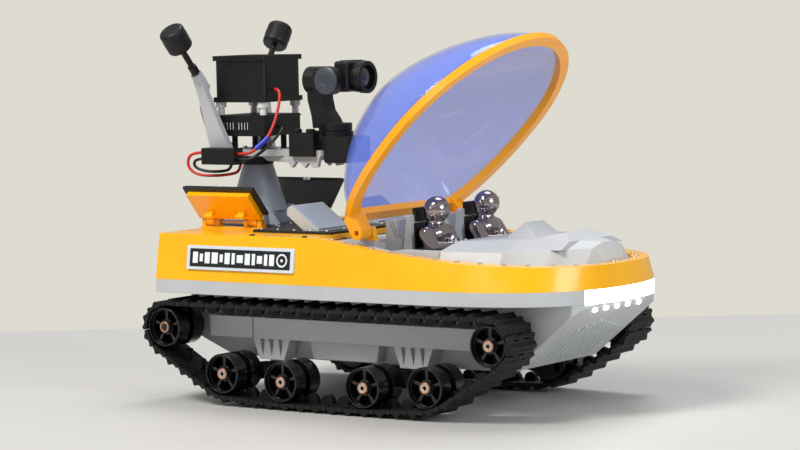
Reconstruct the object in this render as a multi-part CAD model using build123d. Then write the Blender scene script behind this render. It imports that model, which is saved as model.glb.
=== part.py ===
"""Radio-controlled tracked rover: boat-shaped hull on two link tracks, with a tilting canopy.

Millimetres, +X to the bow, +Y to port (left), +Z up. Shapes are laid out from the middle of the
wheelbase at ground level, and save() moves them so that the origin is under the middle of the
bounding box.
"""
from build123d import *
import math
import os

os.makedirs("parts", exist_ok=True)
ON_BASE = (Align.CENTER, Align.CENTER, Align.MIN)

# ---- running gear ---------------------------------------------------------------------------
WHEEL_R = 11.8
WHEEL_OUT = 77.0            # outboard face of every wheel, from the centre line
WHEEL_IN = 53.0             # inboard face
END_WHEEL_X = 114.6         # drive wheel aft, idler forward
END_WHEEL_Z = 44.3
BOGIE_X = 50.5              # rocker pivots
BOGIE_Z = 20.0
AXLE_SPREAD = 21.4          # from a rocker pivot to each of its axles
INNER_AXLE_Z = 16.2         # the axle nearer midships
OUTER_AXLE_Z = 18.7
AXLE_R = 1.5
SHAFT_R = 2.0
RUNNING_GAP = 0.05
FAIRING_GAP = 0.5
HORN_GROOVE_W = 5.0
HORN_GROOVE_R = 6.5

# ---- track ----------------------------------------------------------------------------------
LINK_COUNT = 50
LINK_HALF_W = 13.3
LINK_PLATE_T = 2.0
TRACK_Y = 64.7
ROAD_PATH_R = 13.25         # pin circle round a road wheel
OUTER_PATH_R = 13.9
END_PATH_R = 14.3
LUG_H = INNER_AXLE_Z - ROAD_PATH_R
PIN_R = 0.6
KNUCKLE_R = 1.45
HORN_R = 3.9
HORN_DROP = 2.4             # centre of a guide horn's round edge, below the pin line

# ---- hull -----------------------------------------------------------------------------------
STERN_X = -119.6
BOW_X = 161.0
LIP_HALF_W = 77.0
LIP_Z = (65.0, 73.0)
DECK_Z = 100.0
DECK_HALF_W = 73.0
DECK_BOW_X = 158.0
BOW_DECK_Z = 86.0
LOFT_TOP_Z = 104.0
WALL = 2.6
BELLY_HALF_W = 45.0
BELLY_Z = 26.0
COAMING_W = 5.5
COAMING_AFT_X = -6.0
COCKPIT_DROP = 3.0          # cockpit deck below the coaming
WELL_X = (16.0, 72.0)
WELL_HALF_W = 50.0
WELL_FLOOR_Z = 82.0

# ---- canopy ---------------------------------------------------------------------------------
CANOPY_REST = (0.0, 102.0)          # x, z of the ring's own origin while it stands open
CANOPY_HINGE = (13.0, 102.0)        # x, z of the hinge line
CANOPY_ANGLE = 46.0                 # how far it stands open
CANOPY_LENGTH = 152.0
CANOPY_HALF_W = 75.0
CANOPY_HEIGHT = 52.5
CANOPY_AFT = 8.0
CANOPY_PIN_R = 1.5
CANOPY_WIDEST = 0.47                # where it is widest, as a share of its length
CANOPY_FOOT_SHARE = 0.70            # width of the straight end, as a share of the full width
ARC_K = 0.5523                      # handle length of a quarter ellipse drawn as one Bezier
RIM_STEP = 2.6                      # the dome stands this far in from the rim's edge
DOME_AFT = 10.6
DOME_TIP = 149.4
DOME_CROWN_X = 55.0                 # the crown lies nearer the hinge than the middle
DOME_LAYERS = 12
RING_W = 6.5
RING_T = 4.5
CANOPY_EAR = [(16, 2), (8.4, 2), (5.3, -8), (9.0, -12), (12.8, -11), (16, -3)]   # along, up from the ring
EAR_Y = 51.4
EAR_R = 4.0
LUG_Y = 43.4                        # deck lugs, inboard of the ears
LUG_FOOT_Z = 97.0
EAR_HALF_W = 5.0
SKIN_T = 1.5

# ---- rear deck ------------------------------------------------------------------------------
PEDESTAL_X = -100.5
HEAD_PLATE_Z = (143.0, 146.5)
STEM_R = 1.85
CAP_R = 7.8
FAN_X = -99.1
FAN_SIZE = 40.0
FAN_T = 28.0
FAN_TOP_Z = 203.3
FAN_HOLE_R = 2.15
FAN_HOLE_PITCH = 32.0
FAN_BORE_R = 17.8
RADIO_X = (-117.6, -80.8)           # video transmitter
RADIO_HALF_W = 18.4
RADIO_Z = (154.8, 167.5)
PANEL_HINGE = (31.0, 104.0)         # |y|, z of the hinge line
PANEL_LEAN = 41.0                   # outward from upright
PANEL_X = (-122.5, -69.5)
PANEL_LENGTH = 25.0
YAW_X = -40.2
TILT_X = -34.2
ROLL_FACE_X = -43.9
LENS_X = -17.0
CAMERA_Z = 188.0

REAR_X = -END_WHEEL_X - END_PATH_R - LUG_H
ORIGIN_SHIFT = -(REAR_X + BOW_X) / 2


def save(node, *shapes):
    """Write one node, moved to the row's origin."""
    group = Compound(children=[Pos(ORIGIN_SHIFT, 0, 0) * s for s in shapes]) if len(shapes) > 1 else (
        Pos(ORIGIN_SHIFT, 0, 0) * shapes[0])
    export_step(group, "parts/" + node + ".step")


def block(x, y, z):
    """A box from three (low, high) pairs."""
    size = [b - a for a, b in (x, y, z)]
    return Pos(*[(a + b) / 2 for a, b in (x, y, z)]) * Box(*size)


def rod(start, end, r):
    """A round bar between two points."""
    a, b = Vector(*start), Vector(*end)
    return Plane(origin=a, z_dir=b - a) * Cylinder(r, (b - a).length, align=ON_BASE)


def slab_xz(points, y0, y1):
    """A side profile of (x, z) points, as thick as y0 to y1."""
    face = make_face(Polyline(*[(x, y0, z) for x, z in points], close=True))
    return extrude(face, amount=y1 - y0, dir=(0, 1, 0))


def mirror_y(shape):
    return mirror(shape, about=Plane.XZ)


def pair(shape):
    """The starboard piece and its mirror image."""
    return shape, mirror_y(shape)


# ---- hull shells ----------------------------------------------------------------------------

def plan(z, half_w, aft_x, bow_x, shoulder_x, inset=0.0):
    """Deck outline at one height: square stern, straight sides and a full round bow."""
    w, aft, tip = half_w - inset, aft_x + inset, bow_x - inset
    reach = (tip - shoulder_x) * 0.61
    fullness = w * 0.80
    sides = []
    for s in (-1, 1):
        sides.append(Bezier((shoulder_x, s * w, z), (shoulder_x + reach, s * w, z),
                            (tip, s * fullness, z), (tip, 0, z)))
    stern = Polyline((shoulder_x, -w, z), (aft, -w, z), (aft, w, z), (shoulder_x, w, z))
    return make_face(Wire([*stern.edges(), *sides[0].edges(), *sides[1].edges()]))


def lip_plan(z, inset=0.0):
    return plan(z, LIP_HALF_W, STERN_X, BOW_X, 60.0, inset)


def deck_plan(z, inset=0.0):
    return plan(z, DECK_HALF_W, STERN_X + 1.0, DECK_BOW_X, 0.0, inset)


def sheer(x):
    """Deck height, level aft and falling in a curve to the bow."""
    run = max(0.0, min(1.0, 1 - x / DECK_BOW_X)) if x > 0 else 1.0
    return BOW_DECK_Z + (DECK_Z - BOW_DECK_Z) * run ** 2


def under_sheer(drop, floor_z):
    """Everything below the deck surface, less a drop."""
    bow = DECK_BOW_X + 20
    line = Spline((0, 0, DECK_Z - drop), (41, 0, sheer(41) - drop), (82, 0, sheer(82) - drop),
                  (123, 0, sheer(123) - drop), (DECK_BOW_X, 0, BOW_DECK_Z - drop),
                  tangents=[(1, 0, -2 * (DECK_Z - BOW_DECK_Z) / DECK_BOW_X), (1, 0, 0)])
    rest = Polyline((DECK_BOW_X, 0, BOW_DECK_Z - drop), (bow, 0, BOW_DECK_Z - drop), (bow, 0, floor_z),
                    (STERN_X - 10, 0, floor_z), (STERN_X - 10, 0, DECK_Z - drop), (0, 0, DECK_Z - drop))
    face = make_face(Wire([*line.edges(), *rest.edges()]))
    return extrude(face, amount=100, dir=(0, 1, 0), both=True)


def upper_hull():
    outer = loft([lip_plan(LIP_Z[1]), deck_plan(LOFT_TOP_Z)]) & under_sheer(0, 60)
    inner = loft([lip_plan(LIP_Z[1], WALL), deck_plan(LOFT_TOP_Z, WALL)]) & under_sheer(WALL, 60)
    opening = extrude(deck_plan(70, COAMING_W), amount=40) & block((COAMING_AFT_X, 200), (-90, 90), (60, 120))
    return outer - inner - opening


BELLY = [(STERN_X, 66), (STERN_X, 40), (-110, 35), (-88, BELLY_Z), (109.7, BELLY_Z), (158, 66)]
BELLY_CAVITY = [(-117.1, 67), (-117.1, 41.5), (-109, 37.6), (-87.4, 28.6), (108.4, 28.6), (151, 67)]


def lower_hull():
    lip = extrude(lip_plan(LIP_Z[0]), amount=LIP_Z[1] - LIP_Z[0])
    lip -= extrude(lip_plan(LIP_Z[0] + WALL, WALL), amount=20)
    body = lip + (slab_xz(BELLY, -BELLY_HALF_W, BELLY_HALF_W) & extrude(lip_plan(20, 0.5), amount=60))
    body -= slab_xz(BELLY_CAVITY, WALL - BELLY_HALF_W, BELLY_HALF_W - WALL)
    body -= light_space(0.0)
    for s in (-1, 1):
        body -= rod((-END_WHEEL_X, s * 40, END_WHEEL_Z), (-END_WHEEL_X, s * 48, END_WHEEL_Z), SHAFT_R + 0.3)
        body -= rod((END_WHEEL_X, s * 40, END_WHEEL_Z), (END_WHEEL_X, s * 48, END_WHEEL_Z), AXLE_R)
    return body


LIGHT_HALF_W = 38.0
LIGHT_DEPTH = 7.0


def light_space(shrink):
    """The band behind the bow's edge that the light bar fills."""
    band = extrude(lip_plan(LIP_Z[0]), amount=LIP_Z[1] - LIP_Z[0])
    band -= extrude(lip_plan(LIP_Z[0] - 1, LIGHT_DEPTH), amount=20)
    return band & block((100, 200), (shrink - LIGHT_HALF_W, LIGHT_HALF_W - shrink), (60, 80))


COWL_STATIONS = [   # x, half-width and height of the foot, of the chine and of the flat top
    (72.0, 62.6, 87.0, 59.6, 93.5, 40.0, 98.0),
    (108.0, 54.3, 84.4, 50.0, 93.3, 26.0, 99.0),
    (130.0, 43.4, 83.4, 34.0, 93.8, 14.0, 98.6),
    (146.0, 26.0, 83.0, 16.0, 94.3, 5.0, 96.8),
    (151.0, 13.0, 83.0, 9.0, 87.0, 3.0, 87.6)]


def wedge(side_profile, end_profile):
    """A solid with one outline seen from the side and another seen from the end."""
    xs = [x for x, z in side_profile]
    outline = Polyline(*[(min(xs), y, z) for y, z in end_profile], close=True)
    ahead = extrude(make_face(outline), amount=max(xs) - min(xs), dir=(1, 0, 0))
    return slab_xz(side_profile, -60, 60) & ahead


def cowl():
    """Faceted bow cover with an instrument hood and a lower step ahead of it."""
    sections = []
    for x, foot_w, foot_z, chine_w, chine_z, top_w, top_z in COWL_STATIONS:
        half = [(foot_w, foot_z - 2), (foot_w, foot_z), (chine_w, chine_z), (top_w, top_z)]
        ring = half + [(-w, z) for w, z in reversed(half)]
        sections.append(make_face(Polyline(*[(x, w, z) for w, z in ring], close=True)))
    body = loft(sections, ruled=True)
    body += wedge([(87, 94), (87.5, 98.5), (98, 107), (107, 99), (108, 94)],
                  [(-15.5, 94), (-9.5, 107.1), (9.5, 107.1), (15.5, 94)])
    body += wedge([(106, 94), (110, 99.2), (126.5, 102.4), (135, 98), (136, 94)],
                  [(-34, 94), (-11, 102.5), (11, 102.5), (34, 94)])
    for s in (-1, 1):
        body += block((44, 73), sorted((s * 52, s * 61.5)), (88, 93.5))
    return body


def cockpit_deck():
    gap = 0.15
    floor = extrude(deck_plan(70, COAMING_W + gap), amount=40)
    floor &= block((COAMING_AFT_X + gap, 200), (-90, 90), (60, 120))
    floor &= under_sheer(COCKPIT_DROP, 60)
    floor -= under_sheer(COCKPIT_DROP + 2.5, 50)
    well = block(WELL_X, (-WELL_HALF_W, WELL_HALF_W), (WELL_FLOOR_Z - 2, 92))
    room = block((WELL_X[0] + 2, WELL_X[1] - 2), (2 - WELL_HALF_W, WELL_HALF_W - 2), (WELL_FLOOR_Z, 120))
    deck = floor + well + cowl() - room + bulkhead()
    hinge_x = CANOPY_HINGE[0]
    for s in (-1, 1):
        deck += block((hinge_x - 5.5, hinge_x + 5), (s * LUG_Y - 2.6, s * LUG_Y + 2.6), (92, LUG_FOOT_Z))
    return deck


def bulkhead():
    """Sloping wall behind the seats, with three slanted grooves in each end."""
    aft, top = WELL_X[0] + 2, 108.0
    half_w = 34.0
    wall = slab_xz([(aft, top), (24, top), (29.6, 97), (29.6, WELL_FLOOR_Z), (aft, WELL_FLOOR_Z)],
                   -half_w, half_w)
    for s in (-1, 1):
        for i in range(3):
            x = aft + 1.4 + 1.8 * i
            slot = [(x, top + 1), (x + 0.8, top + 1), (x + 5.8, 98), (x + 5.0, 98)]
            wall -= slab_xz(slot, s * half_w - 1.0, s * half_w + 1.0)
    return wall


# ---- crew -----------------------------------------------------------------------------------
CREW_Y = 26.0
HEAD_CENTRE = (48.5, 114.6)
HEAD_R = 7.0


def seat(side):
    y = side * CREW_Y
    back = slab_xz([(30, WELL_FLOOR_Z), (34, 111.5), (37, 111.5), (37.8, 88), (37.8, WELL_FLOOR_Z)],
                   y - 10, y + 10)
    cushion = block((37, 58), (y - 10, y + 10), (WELL_FLOOR_Z, 87))
    return fillet((back + cushion).edges().filter_by(Axis.X), 1.0)


def pilot(side):
    """A plain seated mannequin with a smooth round helmet."""
    y = side * CREW_Y
    x, z = HEAD_CENTRE
    body = Pos(x, y, z) * Sphere(HEAD_R)
    body += rod((x - 1, y, 103), (x - 0.5, y, 110), 3.2)
    body += Plane(origin=(x - 2, y, 87.2)) * Cone(6.2, 8.2, 13, align=ON_BASE)
    body += Pos(x - 2, y, 100.2) * Sphere(8.2)
    for s in (-1, 1):
        shoulder = (x - 1.5, y + s * 8.2, 100.0)
        elbow = (x + 4.5, y + s * 9.6, 92.5)
        hand = (x + 14, y + s * 4.5, 94.5)
        knee = (x + 15, y + s * 4.5, 90.2)
        body += Pos(*shoulder) * Sphere(4.3) + rod(shoulder, elbow, 3.2) + Pos(*elbow) * Sphere(3.2)
        body += rod(elbow, hand, 2.4) + Pos(*hand) * Sphere(2.4)
        body += rod((x, y + s * 4.2, 90.4), knee, 3.2) + Pos(*knee) * Sphere(3.2)
    return body


# ---- canopy ---------------------------------------------------------------------------------

def canopy_plan(z, aft, tip, half_w):
    """Closed outline, nearly round and cut straight across at the hinge end."""
    mid = aft + CANOPY_WIDEST * (tip - aft)
    foot_w = CANOPY_FOOT_SHARE * half_w
    edges = [Line((aft, -foot_w, z), (aft, foot_w, z))]
    for s in (-1, 1):
        spread_x, spread_w = aft + 0.18 * (mid - aft), foot_w + 0.5 * (half_w - foot_w)
        edges.append(Bezier((aft, s * foot_w, z), (spread_x, s * spread_w, z),
                            (aft + 0.46 * (mid - aft), s * half_w, z), (mid, s * half_w, z)))
        edges.append(Bezier((mid, s * half_w, z), (mid + ARC_K * (tip - mid), s * half_w, z),
                            (tip, s * ARC_K * half_w, z), (tip, 0, z)))
    return make_face(Wire([e for line in edges for e in line.edges()]))


def rim_plan(z, inset):
    return canopy_plan(z, CANOPY_AFT + inset, CANOPY_LENGTH - inset, CANOPY_HALF_W - inset)


def open_canopy(shape):
    """Tip up a canopy piece that is drawn lying flat, and put it in place."""
    x, z = CANOPY_REST
    return Pos(x, 0, z) * (Rot(0, -CANOPY_ANGLE, 0) * shape)


def dome_section(turn):
    """One level of the dome: height over the rim, aft end, tip and share of the full width.

    The turn goes from 0 at the rim to 1 at the crown.
    """
    up = math.sin(turn * math.pi / 2)
    tip = DOME_CROWN_X + (DOME_TIP - DOME_CROWN_X) * (1 - turn ** 1.45) ** 1.5
    aft = DOME_CROWN_X + (DOME_AFT - DOME_CROWN_X) * (1 - turn ** 1.3) ** 1.25
    return CANOPY_HEIGHT * up, aft, tip, (1 - up ** 1.7) ** 0.72


def bubble_solid(inset):
    """The blown dome: its sections shrink as they rise, and its crown lies nearer the hinge."""
    faces = []
    half_w = CANOPY_HALF_W - RIM_STEP
    for i in range(DOME_LAYERS):
        rise, aft, tip, width = dome_section(i / (DOME_LAYERS + 1))
        height = RING_T + rise * (CANOPY_HEIGHT - inset) / CANOPY_HEIGHT
        faces.append(canopy_plan(height, aft + inset, tip - inset, half_w * width - inset))
    return loft(faces, ruled=True)


def canopy_bubble():
    shell = bubble_solid(0.0) - bubble_solid(SKIN_T)
    return open_canopy(shell)


def canopy_frame():
    ring = extrude(rim_plan(0, 0), amount=RING_T) - extrude(rim_plan(-1, RING_W), amount=RING_T + 2)
    for s in (-1, 1):
        ring += slab_xz(CANOPY_EAR, s * EAR_Y - EAR_HALF_W, s * EAR_Y + EAR_HALF_W)
    ring = open_canopy(ring)
    x, z = CANOPY_HINGE
    for s in (-1, 1):
        ring += rod((x, s * EAR_Y - EAR_HALF_W, z), (x, s * EAR_Y + EAR_HALF_W, z), EAR_R)
    return ring - rod((x, -60, z), (x, 60, z), CANOPY_PIN_R + RUNNING_GAP)


def canopy_lugs():
    """Lugs on the cockpit deck's bosses, inboard of the canopy's ears."""
    x, z = CANOPY_HINGE
    foot = LUG_FOOT_Z
    lugs = []
    for s in (-1, 1):
        lug = slab_xz([(x - 5, foot), (x - 3, z + 3), (x + 3, z + 3), (x + 5, foot)],
                      s * LUG_Y - 2, s * LUG_Y + 2)
        lugs.append(lug - rod((x, s * LUG_Y - 5, z), (x, s * LUG_Y + 5, z), CANOPY_PIN_R))
    return lugs


# ---- rear deck pieces -----------------------------------------------------------------------

def rear_deck_plate():
    plate = block((-68.0, -10.0), (-50, 50), (DECK_Z, DECK_Z + 1.5))
    plate += block((-118.0, -68.0), (-24, 24), (DECK_Z, DECK_Z + 1.5))
    return fillet(plate.edges().filter_by(Axis.Z), 2.0)


def pedestal():
    base = block((-118, -83.5), (-17, 17), (DECK_Z + 1.5, DECK_Z + 9))
    base = chamfer(base.faces().sort_by(Axis.Z)[-1].edges(), 1.2)
    column = Plane(origin=(PEDESTAL_X, 0, DECK_Z + 9)) * Cone(17.5, 9.2, 28, align=ON_BASE)
    neck = rod((PEDESTAL_X, 0, 136.9), (PEDESTAL_X, 0, HEAD_PLATE_Z[0]), 8.0)
    column += base + neck
    for s in (-1, 1):
        column += slab_xz([(-84, 101.5), (-76, 101.5), (-84, 112), (-88, 112), (-88, 101.5)],
                          s * 12 - 1.2, s * 12 + 1.2)
    return column


def antenna_line(side):
    """Foot and top of one antenna's holder, and the way its stem points."""
    stem = Vector(-0.069, side * 0.607, 0.792).normalized()
    return Vector(-112, side * 20.8, HEAD_PLATE_Z[1] - 1.0), Vector(-119.2, side * 31.6, 190), stem


def head_plate():
    z0, z1 = HEAD_PLATE_Z
    half = [(-119, 22), (-84, 22), (-70, 13.5), (-42.5, 13.5)]
    outline = Polyline(*[(x, -y, z0) for x, y in half], *[(x, y, z0) for x, y in reversed(half)], close=True)
    plate = extrude(make_face(outline), amount=z1 - z0)
    plate = fillet(plate.edges().filter_by(Axis.Z), 3.0)
    flange = [(-88, z0), (-83, 140), (-67, 139), (-64.5, 136), (-61.5, 139.2), (-58, 139.2), (-55, 136),
              (-52, 139.2), (-49, 136), (-45.5, 136.5), (-43.5, z0)]
    for s in (-1, 1):
        plate += slab_xz(flange, s * 12 - 1.4, s * 12 + 1.4)
    for s in (-1, 1):
        foot, top, stem = antenna_line(s)
        axis = (top - foot).normalized()
        across = Vector(1, 0, -axis.X / axis.Z)
        side_plane = Plane(origin=foot, x_dir=across, z_dir=across.cross(axis))
        length = (top - foot).length
        blade = make_face(Polyline((-6.5, 0), (8, 0), (3.4, length - 12), (3.4, length), (-3.4, length),
                                   (-3.4, length - 12), close=True))
        plate += extrude(side_plane * blade, amount=2.0, both=True)
        plate += rod(tuple(top - stem * 8), tuple(top + stem * 4), 3.5)
        plate -= rod(tuple(top - stem * 5), tuple(top + stem * 8), STEM_R)
    plate -= rod((PEDESTAL_X, 0, 140), (PEDESTAL_X, 0, z1 - 2), 8.0)
    return plate


def antenna(side):
    foot, top, axis = antenna_line(side)
    stem_start, cap_start = top - axis * 5, top + axis * 22.8
    stem = rod(tuple(stem_start), tuple(cap_start + axis * 2), STEM_R)
    cap = rod(tuple(cap_start), tuple(cap_start + axis * 15), CAP_R)
    cap = fillet(cap.edges(), 2.2)
    return stem + cap


def fan_frame():
    low = FAN_TOP_Z - FAN_T
    half = FAN_SIZE / 2
    x = (FAN_X - half, FAN_X + half)
    frame = block(x, (-half, half), (low, low + 3)) + block(x, (-half, half), (FAN_TOP_Z - 3, FAN_TOP_Z))
    frame = fillet(frame.edges().filter_by(Axis.Z), 2.5)
    body = block((FAN_X - half + 1, FAN_X + half - 1), (1 - half, half - 1), (low, FAN_TOP_Z))
    frame += fillet(body.edges().filter_by(Axis.Z), 4.0)
    frame -= rod((FAN_X, 0, low - 1), (FAN_X, 0, FAN_TOP_Z + 1), FAN_BORE_R)
    for i in range(4):
        strut = block((0, FAN_BORE_R + 0.4), (-1.2, 1.2), (low, low + 2.2))
        frame += Pos(FAN_X, 0, 0) * (Rot(0, 0, 45 + 90 * i) * strut)
    frame += rod((FAN_X, 0, low), (FAN_X, 0, low + 2.5), 8.5)
    frame += rod((FAN_X, 0, low), (FAN_X, 0, low + 12), 1.4)
    for sx in (-1, 1):
        for sy in (-1, 1):
            cx, cy = FAN_X + sx * FAN_HOLE_PITCH / 2, sy * FAN_HOLE_PITCH / 2
            frame -= rod((cx, cy, low - 1), (cx, cy, FAN_TOP_Z + 1), FAN_HOLE_R)
    return frame


def fan_rotor():
    low = FAN_TOP_Z - FAN_T + 3.2
    hub = rod((FAN_X, 0, low), (FAN_X, 0, FAN_TOP_Z - 1.5), 8.5)
    for i in range(7):
        blade = Pos(13.0, 0, (low + FAN_TOP_Z) / 2) * (Rot(38, 0, 0) * Box(10.4, 1.2, 22))
        hub += Pos(FAN_X, 0, 0) * (Rot(0, 0, i * 360 / 7) * blade)
    keep = rod((FAN_X, 0, low), (FAN_X, 0, FAN_TOP_Z - 1.5), FAN_BORE_R - 0.6)
    rotor = hub & keep
    return rotor - rod((FAN_X, 0, low - 1), (FAN_X, 0, low + 9.2), 1.4 + RUNNING_GAP)


def fan_standoffs():
    posts = []
    for sx in (-1, 1):
        for sy in (-1, 1):
            cx, cy = FAN_X + sx * FAN_HOLE_PITCH / 2, sy * FAN_HOLE_PITCH / 2
            post = rod((cx, cy, RADIO_Z[1]), (cx, cy, FAN_TOP_Z - FAN_T), 2.0)
            nut = Pos(cx, cy, FAN_TOP_Z - FAN_T - 3.2) * extrude(RegularPolygon(3.4, 6), amount=3.2)
            posts.append(post + nut)
    return posts


def video_transmitter():
    """Flat electronics box on four feet, with two groups of vent slots in each side."""
    y, top = RADIO_HALF_W, RADIO_Z[1]
    body = block(RADIO_X, (-y, y), RADIO_Z)
    body = fillet(body.edges().filter_by(Axis.Z), 1.2)
    for s in (-1, 1):
        for group_x in (-112.0, -101.0):
            for i in range(4):
                x = group_x + i * 2.2
                body -= block((x, x + 1.1), (s * y - 1.2, s * y + 1.2), (top - 9.0, top - 4.0))
    for x in (-110, -88):
        for y in (-10, 10):
            body += rod((x, y, HEAD_PLATE_Z[1]), (x, y, RADIO_Z[0] + 1), 1.8)
    return body


def panel_place(shape, side):
    """Stand a panel piece, drawn flat with its hinge along x at the origin, on the deck."""
    y, z = PANEL_HINGE
    return Pos(0, side * y, z) * (Rot(side * (90 - PANEL_LEAN), 0, 0) * shape)


def panel_tray(side):
    """Shallow yellow tray with hinge knuckles, drawn lying outboard of the hinge."""
    low, high = PANEL_X
    tray = block((low + 3, high - 3), (3.5, PANEL_LENGTH - 2), (-1.2, 2.0))
    tray -= block((low + 5, high - 5), (5.5, PANEL_LENGTH - 4), (0.8, 3.0))
    for x in (-112, -80):
        tray += block((x - 3, x + 3), (0, 6), (-1.2, 2.0))
        tray += rod((x - 3, 0, 0), (x + 3, 0, 0), 2.6)
        tray -= rod((x - 4, 0, 0), (x + 4, 0, 0), 1.0 + RUNNING_GAP)
    if side < 0:
        tray = mirror_y(tray)
    return panel_place(tray, side)


def panel_plate(side):
    low, high = PANEL_X
    plate = block((low, high), (4.0, PANEL_LENGTH + 1), (2.0, 4.2))
    plate = chamfer(plate.edges().filter_by(Axis.X), 0.5)
    if side < 0:
        plate = mirror_y(plate)
    return panel_place(plate, side)


def hinge_bracket(side):
    y, z = PANEL_HINGE
    rail = block((-118, -74), (26.5, 35.5), (DECK_Z, DECK_Z + 1.2))
    for x in (-117, -107, -85, -75):
        ear = slab_xz([(x - 1.5, DECK_Z), (x - 1.5, z), (x + 1.5, z), (x + 1.5, DECK_Z)], y - 2.4, y + 2.4)
        ear += rod((x - 1.5, y, z), (x + 1.5, y, z), 2.4)
        rail += ear - rod((x - 2, y, z), (x + 2, y, z), 1.0)
    return rail if side > 0 else mirror_y(rail)


def vent_pod(side):
    """Thick slab that slopes down to its foot, with a bevelled top edge."""
    low, high = sorted((side * 14, side * 46))
    slope = [(-44.5, 110.5), (-43.8, 114.6), (-41.6, 116.0), (-21.5, 101.5), (-32.5, 101.5)]
    return slab_xz(slope, low, high)


# ---- gimbal ---------------------------------------------------------------------------------

def gimbal_base():
    """Clamp block that grips the head plate's edges, with the yaw motor on a step ahead of it."""
    z = HEAD_PLATE_Z[1]
    top = z + 8
    base = block((-69, -24), (-11, 11), (z, top))
    base = fillet(base.edges().filter_by(Axis.Z), 3.0)
    base += fillet(block((-42.2, -24), (-11, 11), (z - 7.5, top)).edges().filter_by(Axis.Y), 1.5)
    for s in (-1, 1):
        base += block((-64, -46), sorted((s * 10, s * 16.5)), (z, top + 2.6))
        base += block((-64, -46), sorted((s * 13.8, s * 16.5)), (z - 3.6, z + 1))
    return base + rod((YAW_X, 0, z), (YAW_X, 0, top + 3), 9.8)


def gimbal_yaw_arm():
    z = HEAD_PLATE_Z[1] + 11.4
    turntable = rod((YAW_X, 0, z), (YAW_X, 0, z + 4.4), 9.2)
    arm = slab_xz([(-54, z + 1.5), (-38, z + 1.5), (-41, 165), (-44.8, 170), (-46.5, 177), (-46.5, 195),
                   (-55, 195), (-58, 186), (-57.5, 176), (-55, 167)], -5.5, 5.5)
    return turntable + arm + rod((-59, 0, CAMERA_Z), (ROLL_FACE_X - 0.5, 0, CAMERA_Z), 8.2)


def gimbal_roll_arm():
    back, front = ROLL_FACE_X, ROLL_FACE_X + 2.6
    disc = rod((back, 0, CAMERA_Z), (front, 0, CAMERA_Z), 7.6)
    bracket = block((back, front), (-18.2, 2), (CAMERA_Z - 4.5, CAMERA_Z + 4.5))
    cheek = block((back, TILT_X), (-18.2, -14.6), (CAMERA_Z - 5.5, CAMERA_Z + 5.5))
    motor = rod((TILT_X, -18.2, CAMERA_Z), (TILT_X, -11.0, CAMERA_Z), 8.3)
    return disc + bracket + cheek + motor


def gimbal_camera():
    """Camera body, round behind its tilt axis, with the lens barrel ahead."""
    body = block((TILT_X, TILT_X + 10), (-10.6, 12), (CAMERA_Z - 6.9, CAMERA_Z + 11.4))
    body = fillet(body.edges(), 1.8)
    body += rod((TILT_X, -10.6, CAMERA_Z), (TILT_X, 12, CAMERA_Z), 6.6)
    y, z = 0.7, CAMERA_Z + 1.6
    barrel = rod((TILT_X + 8, y, z), (LENS_X - 3, y, z), 8.6)
    bezel = rod((LENS_X - 4, y, z), (LENS_X, y, z), 9.6)
    lens = rod((LENS_X - 3, y, z), (LENS_X + 1, y, z), 7.2)
    return body + barrel + bezel - lens


# ---- running gear ---------------------------------------------------------------------------

def axle_places():
    """Every wheel's name, x and z, for one side."""
    return [("drive", -END_WHEEL_X, END_WHEEL_Z),
            ("road_1", -BOGIE_X - AXLE_SPREAD, OUTER_AXLE_Z),
            ("road_2", -BOGIE_X + AXLE_SPREAD, INNER_AXLE_Z),
            ("road_3", BOGIE_X - AXLE_SPREAD, INNER_AXLE_Z),
            ("road_4", BOGIE_X + AXLE_SPREAD, OUTER_AXLE_Z),
            ("idler", END_WHEEL_X, END_WHEEL_Z)]


def wheel(bore):
    """Starboard wheel on the y axis: two rims, a groove for the track horns, and five spokes."""
    mid = (WHEEL_IN + WHEEL_OUT) / 2
    body = rod((0, -WHEEL_IN, 0), (0, -WHEEL_OUT, 0), WHEEL_R)
    body = chamfer(body.edges(), 0.5)
    groove = rod((0, HORN_GROOVE_W / 2 - mid, 0), (0, -HORN_GROOVE_W / 2 - mid, 0), WHEEL_R + 1)
    groove -= rod((0, HORN_GROOVE_W / 2 - mid, 0), (0, -HORN_GROOVE_W / 2 - mid, 0), HORN_GROOVE_R)
    body -= groove
    recess = rod((0, -WHEEL_OUT - 1, 0), (0, -WHEEL_OUT + 3.0, 0), 10.8)
    body -= recess
    body += rod((0, -WHEEL_OUT + 3.2, 0), (0, -WHEEL_OUT + 0.8, 0), 3.9)
    sector = make_face(Polyline((2.6, 0, -1.3), (10.8, 0, -6.2), (10.8, 0, 6.2), (2.6, 0, 1.3), close=True))
    sector = extrude(sector, amount=9.0, dir=(0, 1, 0))
    sector &= rod((0, 0, 0), (0, 9, 0), 10.2) - rod((0, -1, 0), (0, 10, 0), 4.6)
    for i in range(5):
        body -= Rot(0, 18 + 72 * i, 0) * (Pos(0, -WHEEL_OUT, 0) * sector)
    body -= rod((0, 0, 0), (0, -WHEEL_OUT - 2, 0), bore)
    body -= rod((0, -WHEEL_OUT + 2.0, 0), (0, -WHEEL_OUT - 2, 0), 3.1)
    return body


def axle(inner_y):
    """Starboard shoulder bolt on the y axis, its head sunk in the wheel's hub."""
    bolt = rod((0, -inner_y, 0), (0, -WHEEL_OUT + 1.9, 0), AXLE_R)
    head = rod((0, -WHEEL_OUT + 1.9, 0), (0, -WHEEL_OUT + 0.4, 0), 2.5)
    hexagon = Plane(origin=(0, -WHEEL_OUT + 0.4, 0), z_dir=(0, 1, 0)) * RegularPolygon(1.3, 6)
    socket = extrude(hexagon, amount=0.9)
    return bolt + head - socket


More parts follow.
